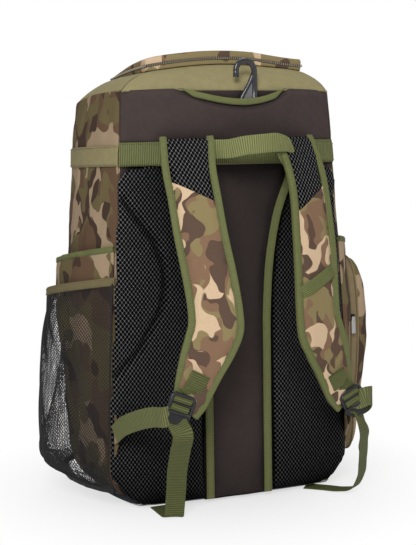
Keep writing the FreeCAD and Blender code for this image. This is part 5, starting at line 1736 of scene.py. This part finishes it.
def zip_slider(name, middle, along, out, body, node):
    """The slider: a body on the teeth with a little bridge that holds the pull."""
    across = np.cross(out, along)
    share = np.linspace(-1, 1, 9)[:, None]
    widths = (0.72 + 0.28 * np.cos(share * 1.3))[:, 0]
    path = middle + along * share * 5.2 * MM
    lower = carried("body", path, across, scaled(oval(8 * MM, 3.4 * MM, 0.5), widths))
    arch = np.linspace(0, math.pi, 12)[:, None]
    hoop = middle + along * (np.cos(arch) * 3.4 * MM) + out * (np.sin(arch) * 2.0 * MM + 1.2 * MM)
    upper = carried("bridge", hoop, across, oval(2.2 * MM, 1.0 * MM, 0.6))
    place(joined(name, [lower, upper]), SLIDER_METAL, body, [node])


def zip_pull(name, hinge, along, across, body, node):
    """A flat tongue with an eye at its hinge and a raised rim."""
    out = np.cross(across, along)
    share = np.linspace(0, 1, 18)
    widths = np.interp(share, [0, 0.12, 0.3, 0.9, 1], [0.55, 0.75, 1, 1, 0.7])
    path = hinge + along * (share * 24 * MM)[:, None]
    tongue = carried("tongue", path, across, scaled(oval(7 * MM, 1.5 * MM, 0.3), widths))
    turn = np.linspace(0, 2 * math.pi, 24, endpoint=False)[:, None]
    eye = hinge + along * (1.6 * MM + np.cos(turn) * 2.2 * MM) + across * (np.sin(turn) * 2.2 * MM)
    ring = carried("eye", eye, out, oval(1.3 * MM, 1.3 * MM, 1, 8), True)
    rim = np.array([(6, -2.6), (21, -2.6), (22.6, -1.4), (22.6, 1.4), (21, 2.6), (6, 2.6), (4.8, 1.2),
                    (4.8, -1.2)]) * MM
    rim = hinge + rim[:, :1] * along + rim[:, 1:] * across + out * 0.8 * MM
    edge = carried("rim", rim, out, oval(0.8 * MM, 0.8 * MM, 1, 6), True)
    place(joined(name, [tongue, ring, edge]), PULL_METAL, body, [node])


for side_name, side in SIDES:
    side_band(side_name, side)
    bat_sleeve(side_name, side)
net_pocket()
purse_gusset()
purse_face()
purse_zip()

# %% [markdown]
# ## The front
# The large front pocket is a box of camouflaged cloth with a zip round three sides, and over
# it is a flat olive valuables pocket. Both are piped round their edges.

# %% Front pockets
POCKET_HALF, POCKET_LOW, POCKET_HIGH, POCKET_REACH = 118 * MM, 40 * MM, 330 * MM, 52 * MM
SAFE_HALF, SAFE_LOW, SAFE_HIGH, SAFE_REACH = 84 * MM, 385 * MM, 480 * MM, 24 * MM
OUTLINE_POINTS = 200


def oblong(half, low, high, corner):
    """A closed outline in X and Z: an oblong with its corners rounded to a radius."""
    centres = ((1, 1), (-1, 1), (-1, -1), (1, -1))
    points = []
    for quarter, (sx, sz) in enumerate(centres):
        turn = np.linspace(0, math.pi / 2, 12) + quarter * math.pi / 2
        x = sx * (half - corner) + corner * np.cos(turn)
        z = (low + high) / 2 + sz * ((high - low) / 2 - corner) + corner * np.sin(turn)
        points.append(np.stack([x, z], axis=1))
    return evenly(np.concatenate(points + [points[0][:1]]), OUTLINE_POINTS, closed=True)


def pillow_face(x, z, half, low, high, reach, bulge):
    """The y of a pocket's face: flat at its rim and bulging between."""
    u, v = x / half, (2 * z - low - high) / (high - low)
    return FRONT + reach + bulge * (1 - np.clip(u * u, 0, 1)) * (1 - np.clip(v ** 4, 0, 1))


def pocket_box(name, half, low, high, reach, bulge, corner, paint, node, seed):
    """Walls that stand off the front and a face that closes them, in one piece of rings."""
    outline = oblong(half, low, high, corner)
    middle = np.array([0, (low + high) / 2])
    rings = []
    for share in np.linspace(0, 1, 10):
        y = lerp(front_face(outline[:, 0], outline[:, 1], -2 * MM), FRONT + reach - 3 * MM, share)
        grow = 1.5 * MM * math.sin(math.pi * share)
        loop = middle + (outline - middle) * (1 + grow / half)
        rings.append(xyz(loop[:, 0], y, loop[:, 1]))
    for share in np.concatenate([np.linspace(0.004, 0.06, 6), np.linspace(0.1, 0.985, 22)]):
        loop = lerp(outline, middle, share)
        y = pillow_face(loop[:, 0], loop[:, 1], half, low, high, reach, bulge)
        rim = 3 * MM * (1 - min(1, share / 0.06)) ** 2
        crease = ripples(loop[:, 0], loop[:, 1], seed, 55 * MM) * 1.4 * MM * min(1, share * 4)
        rings.append(xyz(loop[:, 0], y - rim + crease, loop[:, 1]))
    grid = np.stack(rings)
    out = unit(xyz(grid[..., 0], grid[..., 1] * 0 + 0.04, grid[..., 2] - middle[1]))
    out[10:] = (0, 1, 0)
    place(wall(name, grid, 2 * MM, out, loop=True), paint, stands_for=[node])
    piping = xyz(outline[:, 0], FRONT + reach - 2 * MM, outline[:, 1])
    cord = carried(f"{name}_piping", piping, (0, 1, 0), oval(3 * MM, 3 * MM, 1), True)
    place(cord, OLIVE)


def front_zips():
    inset = 9 * MM
    half, top = POCKET_HALF - 14 * MM - 5 * MM, POCKET_HIGH - 28 * MM - 5 * MM
    corner = 22 * MM
    turn = np.linspace(math.pi, math.pi / 2, 16)
    bend = np.stack([corner - half + corner * np.cos(turn), top - corner + corner * np.sin(turn)], axis=1)
    line = np.concatenate([[[-half, 72 * MM]], bend, bend[::-1] * (-1, 1), [[half, 72 * MM]]])
    x, z = evenly(line, 220).T
    y = pillow_face(x, z, POCKET_HALF, POCKET_LOW, POCKET_HIGH, POCKET_REACH, 8 * MM) + 1.2 * MM
    zip_run("front_zip", xyz(x, y, z), (0, 1, 0), "front_pocket_zip")
    x = np.linspace(-SAFE_HALF + inset, SAFE_HALF - inset, 90)
    z = 462 * MM
    y = pillow_face(x, z, SAFE_HALF, SAFE_LOW, SAFE_HIGH, SAFE_REACH, 1 * MM) + 0.8 * MM
    zip_run("valuables_zip_run", xyz(x, y, z), (0, 1, 0), "valuables_zip")


# %% Sliders and pulls of all four zips
DOWN, BACKWARDS = (0, 0, -1), (0, -1, 0)


def slider_and_pull(zip_name, slider, pull, out, along, hang, shift):
    """A slider near the middle of its solid's room and a pull in the middle of its own, both
    moved by shift to where the cloth carries the zip."""
    out, along, hang, shift = (np.array(way, float) for way in (out, along, hang, shift))
    shift = shift * MM
    low, high = (np.array(corner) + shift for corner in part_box(slider))
    sunk = out * (high - low) @ np.abs(out) * 0.28  # one length, taken off along all three axes
    middle = (low + high) / 2 - sunk
    zip_slider(f"{slider}_body", middle, along, out, f"{zip_name}_slider", slider)
    low, high = (np.array(corner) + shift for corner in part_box(pull))
    top = (low + high) / 2 - hang * 12 * MM
    zip_pull(f"{pull}_tongue", top, hang, np.cross(hang, out), f"{zip_name}_pull", pull)


pocket_box("front_pocket_cloth", POCKET_HALF, POCKET_LOW, POCKET_HIGH, POCKET_REACH, 8 * MM, 26 * MM, CAMO,
           "front_pocket", 111)
pocket_box("valuables_pocket_cloth", SAFE_HALF, SAFE_LOW, SAFE_HIGH, SAFE_REACH, 1 * MM, 10 * MM, OLIVE,
           "valuables_pocket", 113)
front_zips()
for row in (
        ("side", "side_zip_slider", "side_zip_pull", (0, -1, 0), (0, 0, 1), DOWN, (-12, -2.5, -10)),
        ("front", "front_zip_slider", "front_zip_pull", (0, 1, 0), (0, 0, 1), DOWN, (0, 1.2, 0)),
        ("valuables", "valuables_slider", "valuables_pull", (0, 1, 0), (1, 0, 0), DOWN, (0, 0, 0)),
        ("lid", "lid_zip_slider", "lid_zip_pull", (1, 0, 0), (0, 1, 0), BACKWARDS, (0, 0, 0))):
    slider_and_pull(*row)

# %% [markdown]
# ## Inside
# A stiff sheet stands behind the back panel, a board lies on the base, and a padded divider
# makes a flat sleeve behind the back.

# %% Inner pieces
for stiff in ("frame_sheet", "base_board"):
    board = frame["nodes"][stiff]
    board.data.materials.clear()
    board.data.materials.append(FRAME_PLASTIC)


def inner_divider():
    low, high = (np.array(corner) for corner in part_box("inner_divider"))
    middle_y = (low[1] + high[1]) / 2
    u, v = crossed((0, 1, 60), (0, 1, 70))
    z = lerp(low[2] + 10 * MM, high[2], v)
    half = np.minimum(side_face(1, middle_y, z) - 5 * MM, high[0])
    x = lerp(-half, half, u)
    rim = np.minimum(half - np.abs(x), np.minimum(z - z.min(), high[2] - z))
    full = rounded_rim(rim, 8 * MM)
    y = middle_y - 2 * MM * full + ripples(x, z, 121, 60 * MM) * 0.2 * MM
    mesh = wall("inner_divider_pad", xyz(x, y, z), 1 * MM + 3 * MM * full, (0, -1, 0))
    divider = place(mesh, LINING, stands_for=["inner_divider"])


inner_divider()

# %% [markdown]
# ## Light, floor and camera
# The pack stands on a pale floor against white. A large key light shines on the back from near
# the camera and a weak one fills from the right. One light from above and one on the front pockets
# keep those sides clear to see, and a soft sky does the rest.

# %% Stage
LIT_MIDDLE = np.array([0, 0, 0.3])  # where every lamp points


def area_light(name, place_at, size, power):
    """A round lamp. Its -Z is turned towards the middle: first up from below, then round."""
    lamp = bpy.data.lights.new(name, "AREA")
    lamp.shape = "DISK"
    lamp.size = size
    lamp.energy = power
    light = in_scene(name, lamp)
    light.location = place_at
    x, y, z = LIT_MIDDLE - np.array(place_at)
    light.rotation_euler = (math.atan2(math.hypot(x, y), -z), 0.0, math.atan2(-x, y))


def white_world():
    """White to the camera and through glass, and a plain soft light on everything else."""
    world = bpy.data.worlds.new("studio")
    bpy.context.scene.world = world
    world.use_nodes = True
    tree = world.node_tree
    tree.nodes.clear()
    ray = add(tree, "LightPath")
    seen = maths(tree, "MAXIMUM", ray.outputs["Is Camera Ray"], ray.outputs["Is Transmission Ray"])
    soft = add(tree, "Background", {"Color": (1, 1, 1, 1), "Strength": 0.32})
    white = add(tree, "Background", {"Color": (1, 1, 1, 1), "Strength": 1.0})
    blend = add(tree, "MixShader", {0: seen, 1: soft.outputs[0], 2: white.outputs[0]})
    end = add(tree, "OutputWorld")
    tree.links.new(blend.outputs[0], end.inputs[0])


def pale_floor():
    """A floor that shows as white but for a soft shadow: part of it glows to the camera alone."""
    corners = np.array([[-3, -3, 0], [3, -3, 0], [3, 3, 0], [-3, 3, 0]], float) - (0, 0, 0.0002)
    floor = in_scene("floor", build("floor", corners, np.array([[0, 1, 2, 3]])))
    material, tree, surface = finish("pale_floor", (0.9, 0.9, 0.9, 1), 0.9, Specular_IOR_Level=0.0)
    glow = add(tree, "Emission", {"Color": (1, 1, 1, 1), "Strength": 1.0})
    ray = add(tree, "LightPath")
    away = add(tree, "VectorMath", {0: where(tree)}, operation="LENGTH").outputs["Value"]
    fade = add(tree, "Clamp", {"Value": maths(tree, "MULTIPLY_ADD", away, 1.6, 0.42)}).outputs[0]
    share = maths(tree, "MULTIPLY", ray.outputs["Is Camera Ray"], fade)
    blend = add(tree, "MixShader", {0: share, 1: surface.outputs[0], 2: glow.outputs[0]})
    tree.links.new(blend.outputs[0], tree.nodes["Material Output"].inputs[0])
    floor.data.materials.append(material)


def camera():
    """A long lens in front of the back, a little above it and to its left, and slightly rolled."""
    from mathutils import Matrix, Vector
    position = Vector((-0.53646, -1.50594, 0.44553))
    target = Vector((-0.0328, -0.1175, 0.3062))
    roll = math.radians(-1.41)
    forward = (target - position).normalized()
    right = forward.cross(Vector((0, 0, 1))).normalized()
    up = right.cross(forward)
    rolled_right = right * math.cos(roll) + up * math.sin(roll)
    rolled_up = up * math.cos(roll) - right * math.sin(roll)
    lens = bpy.data.cameras.new("camera")
    lens.sensor_fit = "AUTO"
    lens.sensor_width = 36
    lens.lens = 74.4
    seat = in_scene("camera", lens)
    turned = Matrix((rolled_right, rolled_up, -forward)).transposed().to_4x4()
    turned.translation = position
    seat.matrix_world = turned
    bpy.context.scene.camera = seat


area_light("key_light", (-1.0, -2.2, 1.6), 1.0, 42)
area_light("fill_light", (2.0, -1.6, 1.0), 1.8, 4)
area_light("top_light", (0.2, 0.4, 2.6), 1.8, 12)
area_light("front_light", (1.0, 2.6, 1.3), 1.8, 16)
white_world()
pale_floor()
camera()
bpy.context.scene.view_settings.view_transform = "Standard"

# %% [markdown]
# ## How the empty pack sags
# An empty pack does not stand square. Below its pockets' mouths the front corner on the left
# falls inwards, and the right side leans in a little. Every sewn piece goes with the wall that
# it is sewn to, and the net goes only with its seam.

# %% Sag
def sag(points, from_y):
    """Moves points in across the pack: most at the base, and on the left most at the front.
    The top seam is drawn up a little at the back, where the yoke is padded."""
    x, y, z = points.T
    left = 30 * MM * np.clip(1 - z / (240 * MM), 0, 1) ** 1.6
    left = left * ease((y - from_y) / (FRONT - from_y)) * np.clip((-x - 118 * MM) / (50 * MM), 0, 1)
    right = 9 * MM * (1 - ease((z - 60 * MM) / (140 * MM))) * np.clip((x - 110 * MM) / (50 * MM), 0, 1)
    points[:, 0] += left - right
    lift = ease((z - 478 * MM) / (50 * MM)) * (1 - ease((z - 545 * MM) / (32 * MM)))
    points[:, 2] += 4.5 * MM * lift * (1 - ease((y + 60 * MM) / (150 * MM)))


for piece in SEWN:
    points = read_points(piece.data)
    sag(points, 60 * MM if piece.name.startswith("net") else -20 * MM)
    write_points(piece.data, points)
print("pieces that sag with the body:", len(SEWN))
